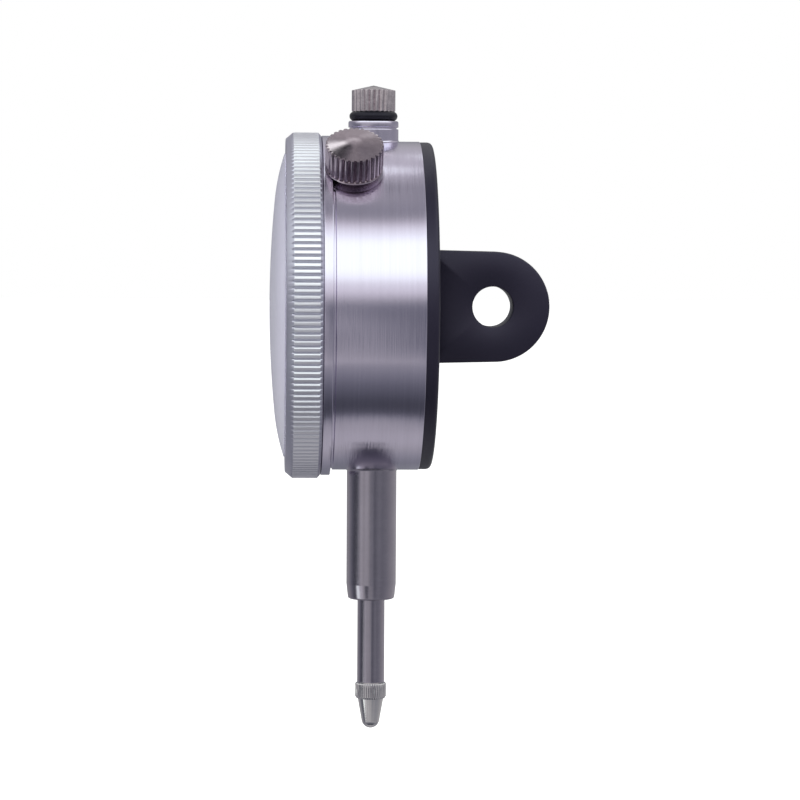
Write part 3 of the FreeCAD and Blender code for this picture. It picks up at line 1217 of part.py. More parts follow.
def pointer():
    body = piece("pointer")
    front = "(-pointer_level - hand_thick)"
    half = "(pointer_width / 2)"
    tail = f"({half} + pointer_flare)"
    blade = outline(body, "blade_outline", "XZ_Plane", [
        (f"-{half}", "0"), (f"-{tail}", "-pointer_tail"), (tail, "-pointer_tail"), (half, "0"),
        ("pointer_point", POINTER_TIP), ("-pointer_point", POINTER_TIP)])
    padded(body, "blade", blade, front, "-pointer_level")
    hub = circles(body, "hub_circle", "XZ_Plane", [("0", "0", "pointer_hub")])
    padded(body, "hub", hub, f"{front} - pointer_hub_height", "-pointer_level")
    hole_along_y(body, "hub_bore", "0", "0", "arbor_radius", f"{front} - pointer_hub_height",
                 "-pointer_level")


def counter_hand():
    body = piece("counter_hand", x=COUNTER_X, z=COUNTER_Z)
    front = "(-counter_hand_level - hand_thick)"
    blade = outline(body, "blade_outline", "XZ_Plane", [
        ("-counter_hand_width", "-counter_hand_tail"), ("counter_hand_width", "-counter_hand_tail"),
        ("counter_hand_point", "counter_hand_tip"), ("-counter_hand_point", "counter_hand_tip")])
    padded(body, "blade", blade, front, "-counter_hand_level")
    hub = circles(body, "hub_circle", "XZ_Plane", [("0", "0", "counter_hub")])
    padded(body, "hub", hub, front, "-counter_hand_level")
    hole_along_y(body, "hub_bore", "0", "0", "arbor_radius", front, "-counter_hand_level")


# Bezel clamp


def clamp_knob():
    body = piece("clamp_knob", y="-clamp_level", angle="clamp_angle")
    base = f"({CLAMP_SEAT} + clamp_seat_gap)"
    rim = f"({base} + knob_height)"
    shoulder = f"({SHOE_OUTER} + shoe_throw + knob_play)"
    end = f"({SHOE_OUTER} - shoe_height + knob_play)"
    profile = outline(body, "knob_profile", "XZ_Plane", [
        ("0", end), ("knob_thread", end), ("knob_thread", shoulder), ("knob_shank", shoulder),
        ("knob_shank", base), ("knob_radius - knob_edge", base), ("knob_radius", f"{base} + knob_edge"),
        ("knob_radius", rim), ("0", f"{rim} + knob_cone")])
    turned(body, "knob", profile)
    fluted(body, profile, "knob_radius", "knob_flute_depth", "knob_flutes", base, f"{rim} + knob_cone")


def clamp_shoe():
    """The sliding nut whose nose grips the bezel from inside."""
    body = piece("clamp_shoe", y="-clamp_level", angle="clamp_angle")
    half = "(shoe_width / 2)"
    back = f"({SHOE_OUTER} - shoe_height)"
    block(body, "nut", False, ("shoe_width", "shoe_length", "shoe_height"),
          (f"-{half}", "-shoe_length / 2", back))
    nose_front = f"({WEB_FRONT} + shoe_fit + clamp_level)"
    block(body, "nose", False, ("shoe_width", f"-{nose_front} - shoe_length / 2", "shoe_nose_thick"),
          (f"-{half}", nose_front, f"{SHOE_NOSE} - shoe_nose_thick"))
    drum(body, "thread", True, "knob_thread + knob_fit", "shoe_height + 2 * cut_past",
         ("0", "0", f"{back} - cut_past"))


def build():
    case()
    back_cover()
    cover_screws()
    stem()
    stem_bush()
    upper_sleeve()
    front_plate()
    rear_plate()
    plate_pillars()
    movement_screws()
    centre_cock()
    bearing_bushes()
    guide_rail()
    stud("spring_post", "spring_offset", "-post_drop", "-2 * post_radius", "post_radius")
    stud("hairspring_stud", f"{COUNTER_X} - {HAIR_OUTER}", COUNTER_Z, f"{HAIR_LEVEL} - stud_over",
         "post_radius")
    hairspring()
    return_spring()
    snap_wire()
    dial_plate()
    dial_screws()
    spindle()
    guide_pin()
    lifting_cap()
    bumper_ring()
    contact_point()
    bezel_ring()
    crystal()
    flat_ring("crystal_spacer", CRYSTAL_RADIUS, SPACER_BORE, CRYSTAL_REAR, DIAL_FRONT)
    flat_ring("dial_ring", CRYSTAL_RADIUS, f"{DIAL_PLATE_RADIUS} + dial_gap", DIAL_FRONT, DIAL_SEAT)
    rack_pinion()
    transfer_wheel()
    centre_pinion()
    pointer()
    counter_arbor()
    counter_wheel()
    counter_hand()
    hairspring_collet()
    clamp_knob()
    clamp_shoe()


def export():
    doc.recompute()
    failed = [f"{thing.Label}: {thing.State}" for thing in doc.Objects
              if "Invalid" in thing.State or "Error" in thing.State]
    for node in NODES:
        if node.Shape.isNull() or not node.Shape.isValid():
            failed.append(f"{node.Label}: no valid shape")
    if failed:
        raise RuntimeError("\n".join(failed))
    os.makedirs("parts", exist_ok=True)
    for node in NODES:
        node.Shape.exportStep(f"parts/{node.Label}.step")
        print(f"{node.Label}: {node.Shape.Volume:.3f} mm3, {len(node.Shape.Solids)} solid(s)")


build()
export()
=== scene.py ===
import bmesh
import bpy
import json
import math
from mathutils import Matrix, Vector


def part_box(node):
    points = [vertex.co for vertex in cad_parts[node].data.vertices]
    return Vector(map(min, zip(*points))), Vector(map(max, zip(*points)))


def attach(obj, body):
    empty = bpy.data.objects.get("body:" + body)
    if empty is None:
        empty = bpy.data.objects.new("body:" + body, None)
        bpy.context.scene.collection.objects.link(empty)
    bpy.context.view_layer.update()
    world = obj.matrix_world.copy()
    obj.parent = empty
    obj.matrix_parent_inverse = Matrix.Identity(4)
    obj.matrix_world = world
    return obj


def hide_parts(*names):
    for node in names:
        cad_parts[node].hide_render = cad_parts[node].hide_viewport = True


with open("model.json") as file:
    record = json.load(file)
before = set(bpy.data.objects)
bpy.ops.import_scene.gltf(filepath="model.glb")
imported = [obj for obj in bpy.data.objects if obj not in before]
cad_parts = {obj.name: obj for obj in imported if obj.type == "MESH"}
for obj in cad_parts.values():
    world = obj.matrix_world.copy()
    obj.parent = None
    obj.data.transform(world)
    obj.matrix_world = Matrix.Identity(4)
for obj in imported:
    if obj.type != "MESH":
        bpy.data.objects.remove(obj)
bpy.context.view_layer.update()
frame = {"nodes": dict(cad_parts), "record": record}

# A mechanical dial indicator, seen from its right side. Metres; the dial faces -Y and the spindle
# runs along Z. Sizes that follow are in millimetres and are scaled once, where a mesh is made.

MM = 0.001


def span(node):
    """A node's lowest and highest corner, in millimetres."""
    low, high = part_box(node)
    return low / MM, high / MM


CASE_LOW, CASE_HIGH = span("case")
BEZEL_LOW, BEZEL_HIGH = span("bezel_ring")
COVER_HIGH = span("back_cover")[1]
STEM_LOW = span("stem")[0]
POINT_LOW = span("contact_point")[0]
SLEEVE_HIGH = span("upper_sleeve")[1]
CAP_LOW, CAP_HIGH = span("lifting_cap")
RUBBER_LOW, RUBBER_HIGH = span("bumper_ring")
CRYSTAL_LOW, CRYSTAL_HIGH = span("crystal")
RING_LOW = span("dial_ring")[0]
COUNTER_LOW, COUNTER_HIGH = span("counter_wheel")

# Radii about the dial axis, and the depth of the bezel's flutes
BARREL = 26.25
FLANGE = CASE_HIGH.x
BEZEL = BEZEL_HIGH.x
COVER = COVER_HIGH.x
FLUTE = 0.3

# Places: the dial axis, the clamp's axis, the top boss, and the cover with its screws
DIAL_HEIGHT = (BEZEL_LOW.z + BEZEL_HIGH.z) / 2
CLAMP_ANGLE = math.radians(37)
CLAMP_LEVEL = -3.6
TOP_BOSS = 28.2
COVER_JOINT = 7.3
COVER_REAR = 9.3
COVER_SCREW_RING = 22.7
COVER_SCREW_ANGLES = (70, 145, 215, 290)
COVER_SCREW_HEAD = 1.6
COUNTER_AXIS = (COUNTER_LOW + COUNTER_HIGH) / 2

# The stem and the boss have one radius; printed ink stands this proud of the dial
STEM = 4.0
INK = 0.02

# Shader building


class Shade:
    """A socket of a shader tree that can be used in sums."""

    def __init__(self, tree, socket=None):
        self.tree = tree
        self.socket = socket

    def node(self, kind, sockets=None, output=0, stops=None, **settings):
        """A new node of the tree: its settings first, then the values or links of its sockets."""
        made = self.tree.nodes.new("ShaderNode" + kind)
        for name, value in settings.items():
            setattr(made, name, value)
        if stops:
            ramp = made.color_ramp
            while len(ramp.elements) < len(stops):
                ramp.elements.new(1.0)
            for element, (place, colour) in zip(ramp.elements, stops):
                element.position = place
                element.color = (*colour, 1.0) if hasattr(colour, "__len__") else (colour,) * 3 + (1.0,)
        for name, value in (sockets or {}).items():
            if isinstance(value, Shade):
                self.tree.links.new(value.socket, made.inputs[name])
            else:
                made.inputs[name].default_value = value
        return Shade(self.tree, made.outputs[output])

    def math(self, operation, *others):
        values = [self, *others]
        return self.node("Math", dict(enumerate(values)), operation=operation)

    def __add__(self, other):
        return self.math("ADD", other)

    __radd__ = __add__

    def __mul__(self, other):
        return self.math("MULTIPLY", other)

    __rmul__ = __mul__

    def __sub__(self, other):
        return self.math("SUBTRACT", other)

    def __rsub__(self, other):
        return self.node("Math", {0: other, 1: self}, operation="SUBTRACT")

    def __truediv__(self, other):
        return self.math("DIVIDE", other)

    def clamp(self, low=0.0, high=1.0):
        return self.node("Clamp", {"Value": self, "Min": low, "Max": high})

    def noise(self, scale, detail=2.0, roughness=0.5):
        """Noise at this vector."""
        return self.node("TexNoise", {"Vector": self, "Scale": scale, "Detail": detail,
                                      "Roughness": roughness})

    def blend(self, first, second):
        """A colour between two links or four numbers, by this factor."""
        return self.node("Mix", {0: self, 6: first, 7: second}, output=2, data_type="RGBA", clamp_factor=True)

    def tint(self, dark, light):
        """A colour between two colours of three numbers, by this factor."""
        return self.blend((*dark, 1.0), (*light, 1.0))


def material(name, colour, metallic=0.0, roughness=0.4, **constants):
    """A principled material. Returns it with its tree's maker and its shader node."""
    made = bpy.data.materials.new(name)
    made.use_nodes = True
    tree = made.node_tree
    shader = next(node for node in tree.nodes if node.type == "BSDF_PRINCIPLED")
    shader.inputs["Base Color"].default_value = (*colour, 1.0)
    shader.inputs["Metallic"].default_value = metallic
    shader.inputs["Roughness"].default_value = roughness
    for label, value in constants.items():
        shader.inputs[label.replace("_", " ")].default_value = value
    return made, Shade(tree), shader


def feed(maker, shader, **values):
    """Links values that change over the surface."""
    for label, value in values.items():
        maker.tree.links.new(value.socket, shader.inputs[label.replace("_", " ")])


def position(maker):
    """The place on the part in its own frame."""
    return maker.node("TexCoord", output="Object")


def parts_of(vector):
    """The three parts of a vector."""
    split = vector.node("SeparateXYZ", {0: vector})
    return [Shade(vector.tree, output) for output in split.socket.node.outputs]


def gathered(x, y, z):
    """A vector of three values."""
    source = next(value for value in (x, y, z) if isinstance(value, Shade))
    return source.node("CombineXYZ", {0: x, 1: y, 2: z})


def raised(height, distance, strength=1.0):
    """The normal that a height in metres gives."""
    return height.node("Bump", {"Height": height, "Distance": distance, "Strength": strength})


def around_dial(maker):
    """Coordinates that run round the dial axis: across the brush lines, and slowly along them."""
    x, y, z = parts_of(position(maker))
    up = z - DIAL_HEIGHT * MM
    angle = x.math("ARCTAN2", up)
    radius = (x * x + up * up).math("SQRT")
    return y, angle, radius


def about_clamp(maker):
    """The distance from the clamp's axis, and the distance out along it."""
    x, y, z = parts_of(position(maker))
    up = z - DIAL_HEIGHT * MM
    across = x * math.cos(CLAMP_ANGLE) - up * math.sin(CLAMP_ANGLE)
    outward = x * math.sin(CLAMP_ANGLE) + up * math.cos(CLAMP_ANGLE)
    beside = y - CLAMP_LEVEL * MM
    return (across * across + beside * beside).math("SQRT"), outward


def brushed_barrel():
    """Satin nickel, brushed round the barrel, with shade painted dark round the clamp knob's boss."""
    made, maker, shader = material("satin_nickel", (0.62, 0.58, 0.71), metallic=1.0, roughness=0.16)
    y, angle, radius = around_dial(maker)
    lines = gathered(y * 5200.0, angle * 1.3, radius * 900.0).noise(1.0, 3.0, 0.6)
    coarse = gathered(y * 900.0, angle * 0.7, 3.0).noise(1.0, 2.0, 0.5)
    hairline = gathered(y * 16000.0, angle * 2.0, 7.0).noise(1.0, 1.0, 0.5)
    cloud = position(maker).noise(90.0, 2.0, 0.5)
    worn = (lines * 0.55 + coarse * 0.45).clamp()
    off, outward = about_clamp(maker)
    # Painted shade: on its outer side, round the clamp knob's boss, the barrel's colour goes dark where the
    # knob shades it.
    painted_knob_shade = ((0.0049 - off) * 900.0).clamp() * ((outward - 0.020) * 1000.0).clamp()
    metal = worn.tint((0.57, 0.528, 0.655), (0.705, 0.648, 0.805))
    feed(maker, shader,
         Base_Color=painted_knob_shade.blend(metal, (0.20, 0.165, 0.20, 1.0)),
         Roughness=0.09 + lines * 0.08 + cloud * 0.03,
         Normal=raised(lines + coarse * 0.5 + hairline * 2.6, 0.0000042))
    return made


def satin_aluminium():
    """Pale satin aluminium of the bezel: darker chamfers, and painted shade deep between its lands."""
    made, maker, shader = material("bezel_aluminium", (0.66, 0.64, 0.75), metallic=1.0, roughness=0.45)
    place = position(maker)
    fine = place.noise(5200.0, 3.0, 0.6)
    cloud = place.noise(260.0, 2.0, 0.5)
    y, angle, radius = around_dial(maker)
    deep = ((BEZEL * MM - radius) / (FLUTE * MM) * 2.2 - 0.2).clamp()
    front = ((y - (BEZEL_LOW.y + 1.1) * MM) * 9000.0).clamp()
    rear = (((BEZEL_HIGH.y - 0.4) * MM - y) * 9000.0).clamp()
    cloudy = fine * 0.6 + cloud * 0.4
    chamfer = cloudy.tint((0.50, 0.485, 0.60), (0.61, 0.595, 0.71))
    land = cloudy.tint((0.80, 0.785, 0.88), (0.93, 0.915, 0.985))
    colour = (front * rear).blend(chamfer, land)
    # Painted shade: the colour darkens deep in the grooves between the lands, where less light reaches.
    painted_groove_shade = (deep * front * rear).blend(colour, (0.64, 0.63, 0.72, 1.0))
    feed(maker, shader, Base_Color=painted_groove_shade, Roughness=0.36 + fine * 0.12, Normal=raised(fine, 0.0000015))
    return made


def clear_acrylic():
    """Clear moulded crystal. Seen along its edge it is milky, with the lilac of old acrylic."""
    made, maker, shader = material("clear_acrylic", (0.95, 0.95, 0.98), roughness=0.05,
                                   Transmission_Weight=1.0, IOR=1.49)
    haze = position(maker).noise(700.0, 3.0, 0.6)
    feed(maker, shader, Roughness=0.03 + haze * 0.05)
    milk = haze.node("BsdfPrincipled", {"Base Color": haze.tint((0.50, 0.49, 0.615), (0.55, 0.54, 0.665)),
                                        "Roughness": 0.22})
    facing = maker.node("LayerWeight", {"Blend": 0.5}, output="Facing")
    clear = Shade(maker.tree, shader.outputs[0])
    both = maker.node("MixShader", {0: ((facing - 0.35) * 2.4).clamp(0.0, 0.9), 1: clear, 2: milk})
    surface = next(node for node in maker.tree.nodes if node.type == "OUTPUT_MATERIAL")
    maker.tree.links.new(both.socket, surface.inputs["Surface"])
    return made


def black_moulding():
    """Matte black plastic with the fine grain of its mould."""
    made, maker, shader = material("black_moulding", (0.008, 0.008, 0.014), roughness=0.38,
                                   Specular_IOR_Level=0.5, Specular_Tint=(0.80, 0.72, 1.0, 1.0))
    place = position(maker)
    grain = place.noise(4200.0, 3.0, 0.65)
    cloud = place.noise(120.0, 2.0, 0.5)
    feed(maker, shader,
         Base_Color=cloud.tint((0.004, 0.004, 0.009), (0.008, 0.007, 0.015)),
         Roughness=0.30 + grain * 0.14 + cloud * 0.05,
         Normal=raised(grain, 0.000010))
    return made


def ground_steel(name, dark, light, rough, along=700.0, across=9000.0):
    """Steel ground round a vertical axis: fine lines round it, and a cloudy tone."""
    made, maker, shader = material(name, dark, metallic=1.0, roughness=rough)
    x, y, z = parts_of(position(maker))
    lines = gathered(x * along, y * along, z * across).noise(1.0, 3.0, 0.6)
    cloud = position(maker).noise(240.0, 3.0, 0.55)
    feed(maker, shader,
         Base_Color=(lines * 0.45 + cloud * 0.55).tint(dark, light),
         Roughness=rough - 0.06 + lines * 0.12,
         Normal=raised(lines, 0.0000022))
    return made


def plated_knurl():
    """Nickel plated knurled steel, a little warm; the clamp knob, off the axis, takes a darker copy of the
    colour as painted shade.
    """
    made, maker, shader = material("plated_knurl", (0.42, 0.37, 0.39), metallic=1.0, roughness=0.2)
    place = position(maker)
    stain = place.noise(900.0, 4.0, 0.65)
    fine = place.noise(6000.0, 3.0, 0.6)
    # Painted shade: the clamp knob, off the axis, gets a darker copy of the cap's plated colour.
    aside = (parts_of(place)[0] * 300.0 - 2.0).clamp()
    bright = stain.tint((0.42, 0.37, 0.40), (0.82, 0.735, 0.78))
    shaded_knob_colour = stain.tint((0.30, 0.247, 0.283), (0.51, 0.428, 0.488))
    feed(maker, shader,
         Base_Color=aside.blend(bright, shaded_knob_colour),
         Roughness=0.10 + stain * 0.12 + fine * 0.06,
         Normal=raised(fine, 0.000002))
    return made


def plain(name, colour, rough, metallic=0.0, scale=1500.0, depth=0.000004, spread=0.12, **constants):
    """A finish with a fine grain and a slight cloud of its colour."""
    made, maker, shader = material(name, colour, metallic=metallic, roughness=rough, **constants)
    place = position(maker)
    grain = place.noise(scale, 3.0, 0.6)
    dark = tuple(part * (1 - spread) for part in colour)
    light = tuple(min(1.0, part * (1 + spread)) for part in colour)
    feed(maker, shader, Base_Color=grain.tint(dark, light), Roughness=rough - 0.05 + grain * 0.1,
         Normal=raised(grain, depth))
    return made


def finishes():
    """Every finish by the name of its slot in the record."""
    return {
        "satin_nickel": brushed_barrel(),
        "bezel_aluminium": satin_aluminium(),
        "acrylic": clear_acrylic(),
        "black_plastic": black_moulding(),
        "stem_steel": ground_steel("stem_steel", (0.33, 0.30, 0.36), (0.50, 0.46, 0.54), 0.2),
        "bright_steel": ground_steel("bright_steel", (0.56, 0.54, 0.57), (0.76, 0.73, 0.75), 0.11),
        "plated_knurl": plated_knurl(),
        "black_rubber": plain("black_rubber", (0.007, 0.007, 0.010), 0.36, scale=2600.0,
                              Specular_IOR_Level=0.25, Specular_Tint=(0.8, 0.75, 1.0, 1.0)),
        "bronze": plain("bronze", (0.52, 0.33, 0.16), 0.34, metallic=1.0),
        "brass_gear": plain("brass_gear", (0.78, 0.58, 0.26), 0.3, metallic=1.0),
        "brass_plate": plain("brass_plate", (0.72, 0.55, 0.27), 0.36, metallic=1.0),
        "movement_steel": plain("movement_steel", (0.52, 0.52, 0.54), 0.28, metallic=1.0),
        "spring_steel": plain("spring_steel", (0.36, 0.38, 0.43), 0.25, metallic=1.0),
        "dial_paint": plain("dial_paint", (0.84, 0.84, 0.83), 0.5, scale=2500.0, depth=0.000002,
                            spread=0.03),
        "spacer_plastic": plain("spacer_plastic", (0.74, 0.74, 0.74), 0.5, spread=0.04),
        "black_paint": plain("black_paint", (0.018, 0.018, 0.018), 0.42, scale=3000.0),
    }


FINISH = finishes()

# Mesh building


def softened(points, sizes, steps=5, closed=False):
    """A profile whose named corners are rounded: sizes gives corner index and radius."""
    result = []
    count = len(points)
    for index, (x, y) in enumerate(points):
        here = Vector((x, y))
        size = sizes.get(index, 0)
        inner = closed or 0 < index < count - 1
        if not size or not inner:
            result.append((x, y))
            continue
        before = Vector(points[index - 1]) - here
        after = Vector(points[(index + 1) % count]) - here
        half = before.angle(after) / 2
        reach = min(size / math.tan(half), before.length * 0.49, after.length * 0.49)
        start = here + before.normalized() * reach
        stop = here + after.normalized() * reach
        for step in range(steps + 1):
            share = step / steps
            point = (1 - share) ** 2 * start + 2 * share * (1 - share) * here + share ** 2 * stop
            result.append(tuple(point))
    return result


DIAL_AXIS = Matrix(((0, 1, 0, 0), (0, 0, 1, 0), (1, 0, 0, DIAL_HEIGHT), (0, 0, 0, 1)))
SPINDLE_AXIS = Matrix.Translation((0, 0, 0))
CLAMP_AXIS = Matrix.Translation((0, CLAMP_LEVEL, DIAL_HEIGHT)) @ Matrix.Rotation(CLAMP_ANGLE, 4, "Y")


def finished(name, mesh_data, body, slot, nodes, angle=32):
    """A piece from a bmesh in millimetres: scaled, shaded, dressed and set on its body."""
    data = bpy.data.meshes.new(name)
    bmesh.ops.scale(mesh_data, vec=(MM, MM, MM), verts=mesh_data.verts)
    bmesh.ops.recalc_face_normals(mesh_data, faces=mesh_data.faces)
    mesh_data.to_mesh(data)
    mesh_data.free()
    data.polygons.foreach_set("use_smooth", [True] * len(data.polygons))
    data.set_sharp_from_angle(angle=math.radians(angle))
    piece = bpy.data.objects.new(name, data)
    bpy.context.scene.collection.objects.link(piece)
    piece.data.materials.append(FINISH[slot])
    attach(piece, body)
    if nodes:
        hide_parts(*nodes)
    return piece


def spun(target, profile, axis, segments, closed=False, radius_at=None):
    """Adds a profile of (radius, height) turned about an axis. radius_at may lower a radius by angle."""
    rows = []
    for radius, height in profile:
        if radius < 1e-6:
            rows.append([target.verts.new(axis @ Vector((0, 0, height)))])
            continue
        row = []
        for index in range(segments):
            angle = math.tau * index / segments
            size = radius_at(radius, height, angle) if radius_at else radius
            place = Vector((size * math.cos(angle), size * math.sin(angle), height))
            row.append(target.verts.new(axis @ place))
        rows.append(row)
    pairs = list(zip(rows, rows[1:]))
    if closed:
        pairs.append((rows[-1], rows[0]))
    for low, high in pairs:
        for index in range(segments):
            following = (index + 1) % segments
            corners = [low[index % len(low)], low[following % len(low)],
                       high[following % len(high)], high[index % len(high)]]
            unique = list(dict.fromkeys(corners))
            if len(unique) > 2:
                target.faces.new(unique)
    return rows


def fluted(root, tip, count, groove, above=-math.inf):
    """A rule for spun: V grooves between low crowned lands. groove is their part of the pitch."""
    pitch = math.tau / count

    def radius_at(radius, height, angle):
        if radius <= root or height <= above:
            return radius
        across = abs((angle % pitch) / pitch - 0.5) * 2
        into = (across - 1 + groove) / groove
        crown = 0.06 * (tip - root) * min(1.0, across / (1 - groove)) ** 2
        return min(radius, tip - crown - max(0.0, into) * (tip - root - crown))

    return radius_at


# Pieces


def barrel():
    """The case: barrel with flange and turned groove, and its bosses with cast fillets."""
    shape = bmesh.new()
    bore, dial_seat, spigot, inside = 2.6, 14.2, 24.9, 24.5
    seat_front, plate_front, plate_rear = CASE_LOW.y, CASE_LOW.y + 0.2, -7.9
    flange_front = -8.3
    groove_front = flange_front + 1.45
    groove_rear = groove_front + 0.4
    groove = BARREL - 0.25
    profile = [(bore, seat_front), (dial_seat, seat_front), (dial_seat, plate_front), (spigot, plate_front),
               (spigot, flange_front), (FLANGE, flange_front), (FLANGE, groove_front),
               (groove, groove_front), (groove, groove_rear), (BARREL, groove_rear), (BARREL, COVER_JOINT),
               (inside, COVER_JOINT), (inside, plate_rear), (bore, plate_rear)]
    rounded = softened(profile, {5: 0.15, 6: 0.14, 8: 0.1, 9: 0.08, 10: 0.12}, 4)
    spun(shape, rounded, DIAL_AXIS, 512, closed=True)
    boss(shape, Matrix.Translation((0, 0, DIAL_HEIGHT)), STEM, TOP_BOSS, 0.25, 0.3, 0.3)
    boss(shape, CLAMP_AXIS, 3.3, 26.95, 0.05, 1.7, 0.9)
    return finished("barrel", shape, "housing", "satin_nickel", ["case"])


def boss(target, axis, radius, top, edge, spread, rise):
    """A round boss that grows out of the barrel with a fillet of a spread and a rise. The axis
    passes the dial axis."""
    segments = 96
    steps = 8
    sunk = 0.04
    sections = []
    for step in range(steps + 1):
        share = step / steps * math.pi / 2
        sections.append((radius + spread * (1 - math.sin(share)), rise * (1 - math.cos(share)) - sunk))
    sections.append((radius, rise + sunk))
    rows = []
    for size, lift in sections:
        row = []
        for index in range(segments):
            x = size * math.cos(math.tau * index / segments)
            y = size * math.sin(math.tau * index / segments)
            level = min(math.sqrt(BARREL ** 2 - x ** 2) + lift, top - edge)
            row.append(target.verts.new(axis @ Vector((x, y, level))))
        rows.append(row)
    crown = softened([(radius, top - edge - 0.01), (radius, top), (0, top)], {1: edge}, 5)
    upper = spun(target, crown, axis, segments)
    for index in range(segments):
        following = (index + 1) % segments
        for low, high in zip(rows, rows[1:] + upper[:1]):
            target.faces.new([low[index], low[following], high[following], high[index]])


def bezel():
    """The turning bezel, with straight flutes that run out in its chamfers."""
    shape = bmesh.new()
    low, high = BEZEL_LOW.y, BEZEL_HIGH.y
    root = BEZEL - FLUTE
    profile = [(25.0, high), (FLANGE, high), (root, high - 0.18), (BEZEL, high - 0.45), (BEZEL, low + 1.2),
               (root, low + 0.84), (BEZEL - 1.0, low), (24.3, low), (24.3, low + 0.7), (25.0, low + 0.7)]
    rounded = softened(profile, {1: 0.08, 3: 0.06, 4: 0.08, 6: 0.2, 7: 0.2}, 3, closed=True)
    count = 174
    rule = fluted(root, BEZEL, count, 0.5)
    spun(shape, rounded, DIAL_AXIS, count * 10, closed=True, radius_at=rule)
    return finished("bezel", shape, "bezel", "bezel_aluminium", ["bezel_ring"], angle=24)


def domed_crystal():
    """The moulded crystal: a low dome that steepens to its flange."""
    shape = bmesh.new()
    thick = 1.4
    rear = CRYSTAL_HIGH.y
    opening, inner_opening = 24.2, 22.9

    def dome(radius, level):
        if radius <= 17.0:
            return level + 180.0 - math.sqrt(180.0 ** 2 - radius ** 2)
        share = (radius - 17.0) / (opening - 17.0)
        return level + 0.805 + (radius - 17.0) * 0.0945 + share ** 2 * 0.82

    steps = [step / 24 for step in range(25)]
    outer = [(opening * step, dome(opening * step, CRYSTAL_LOW.y)) for step in steps]
    inner = [(inner_opening * step, dome(inner_opening * step, CRYSTAL_LOW.y + thick)) for step in steps]
    rim = [(opening, rear - 1.0), (CRYSTAL_HIGH.x, rear - 1.0), (CRYSTAL_HIGH.x, rear), (inner_opening, rear)]
    spun(shape, outer + rim + inner[::-1], DIAL_AXIS, 256)
    piece = finished("crystal_dome", shape, "bezel", "acrylic", ["crystal"], angle=40)
    piece.visible_shadow = False
    return piece


def cover():
    """The moulded back cover with its lug and the recesses of its screws."""
    shape = bmesh.new()
    profile = [(0, COVER_JOINT), (COVER, COVER_JOINT), (COVER, COVER_REAR), (0, COVER_REAR)]
    rows = spun(shape, softened(profile, {1: 0.12, 2: 0.9}, 8)[:-1], DIAL_AXIS, 384)[-1:]
    for degrees in COVER_SCREW_ANGLES:
        x = COVER_SCREW_RING * math.sin(math.radians(degrees))
        up = COVER_SCREW_RING * math.cos(math.radians(degrees))
        floor = COVER_REAR - 0.92
        recess = [(COVER_SCREW_HEAD + 0.02, COVER_REAR), (COVER_SCREW_HEAD, COVER_REAR - 0.05),
                  (COVER_SCREW_HEAD, floor), (0, floor)]
        rows += spun(shape, recess, Matrix.Translation((x, 0, up)) @ DIAL_AXIS, 48)[:1]
    rims = [shape.edges.get(pair) for row in rows for pair in zip(row, row[1:] + row[:1])]
    bmesh.ops.triangle_fill(shape, use_beauty=True, edges=rims)
    lug(shape, COVER_REAR - 0.4)
    return finished("cover_and_lug", shape, "housing", "black_plastic", ["back_cover"], angle=38)


def lug(target, root):
    """A plate with a round end, a through hole and softly rounded edges."""
    half = 3.2
    hole = 3.25
    end = 8.8
    shift = 0.3
    slope = 0.022
    edge = 0.35
    segments = 144
    centre = Vector((0, 19.1, DIAL_HEIGHT))

    def reach(angle):
        """From the hole's centre to the outline: the round end, the sides, or the root in the cover."""
        along, up = math.cos(angle), math.sin(angle)
        to_round = shift * along + math.sqrt(end ** 2 - (shift * up) ** 2)
        if along > 0 and to_round > shift / max(along, 1e-6):
            return to_round
        side = (end + shift * slope) / max(abs(up) + slope * along, 1e-6)
        return min(side, (centre.y - root) / max(-along, 1e-6))

    def loop(size, x, inset):
        row = []
        for index in range(segments):
            angle = math.tau * index / segments
            away = Vector((0, math.cos(angle), math.sin(angle)))
            row.append(target.verts.new(centre + Vector((x, 0, 0)) + away * (size(angle) - inset)))
        return row

    right = [(lambda angle: hole, half - 0.2, 0.0), (lambda angle: hole, half - 0.06, -0.06),
             (lambda angle: hole, half, -0.2), (reach, half, edge), (reach, half - 0.1, 0.1),
             (reach, half - edge, 0.0)]
    left = [(size, -x, inset) for size, x, inset in reversed(right)]
    rows = [loop(*section) for section in right + left]
    for low, high in zip(rows, rows[1:] + rows[:1]):
        for index in range(segments):
            following = (index + 1) % segments
            target.faces.new([low[index], low[following], high[following], high[index]])


def stem_tube():
    """The clamping stem, which flares softly into the barrel."""
    shape = bmesh.new()
    top = DIAL_HEIGHT - 25.6
    straight = DIAL_HEIGHT - 44.7
    inside, end = 3.0, 3.725
    profile = [(inside, top), (STEM, top), (STEM, straight), (end, STEM_LOW.z), (inside, STEM_LOW.z)]
    spun(shape, softened(profile, {2: 0.6, 3: 0.35}, 6, closed=True), SPINDLE_AXIS, 192, closed=True)
    down = Matrix.Translation((0, 0, DIAL_HEIGHT)) @ Matrix.Rotation(math.pi, 4, "Y")
    boss(shape, down, STEM - 0.015, 26.9, 0.02, 0.42, 0.42)
    return finished("stem_tube", shape, "housing", "stem_steel", ["stem"])


def ball_point():
    """The contact point: a collar with a fine knurl, a cone and a ball end."""
    shape = bmesh.new()
    tip = POINT_LOW.z
    top = DIAL_HEIGHT - 60.8
    low = top - 2.5
    ball, collar, neck, neck_top = 1.45, 2.5, 1.78, top + 0.2
    lean = math.radians(10)
    centre = tip + ball
    arc = [(ball * math.cos(angle), centre + ball * math.sin(angle))
           for angle in [-math.pi / 2 + (math.pi / 2 - lean) * step / 12 for step in range(13)]]
    profile = arc + [(2.08, low), (2.3, low), (collar, low + 0.3), (collar, top - 0.15), (2.35, top),
                     (neck, top), (neck, neck_top), (0, neck_top)]
    count = 40
    rule = fluted(collar - 0.14, collar, count, 0.5)
    spun(shape, [(0, tip)] + profile[1:], SPINDLE_AXIS, count * 8, radius_at=rule)
    return finished("ball_point", shape, "measuring_spindle", "bright_steel", ["contact_point"])


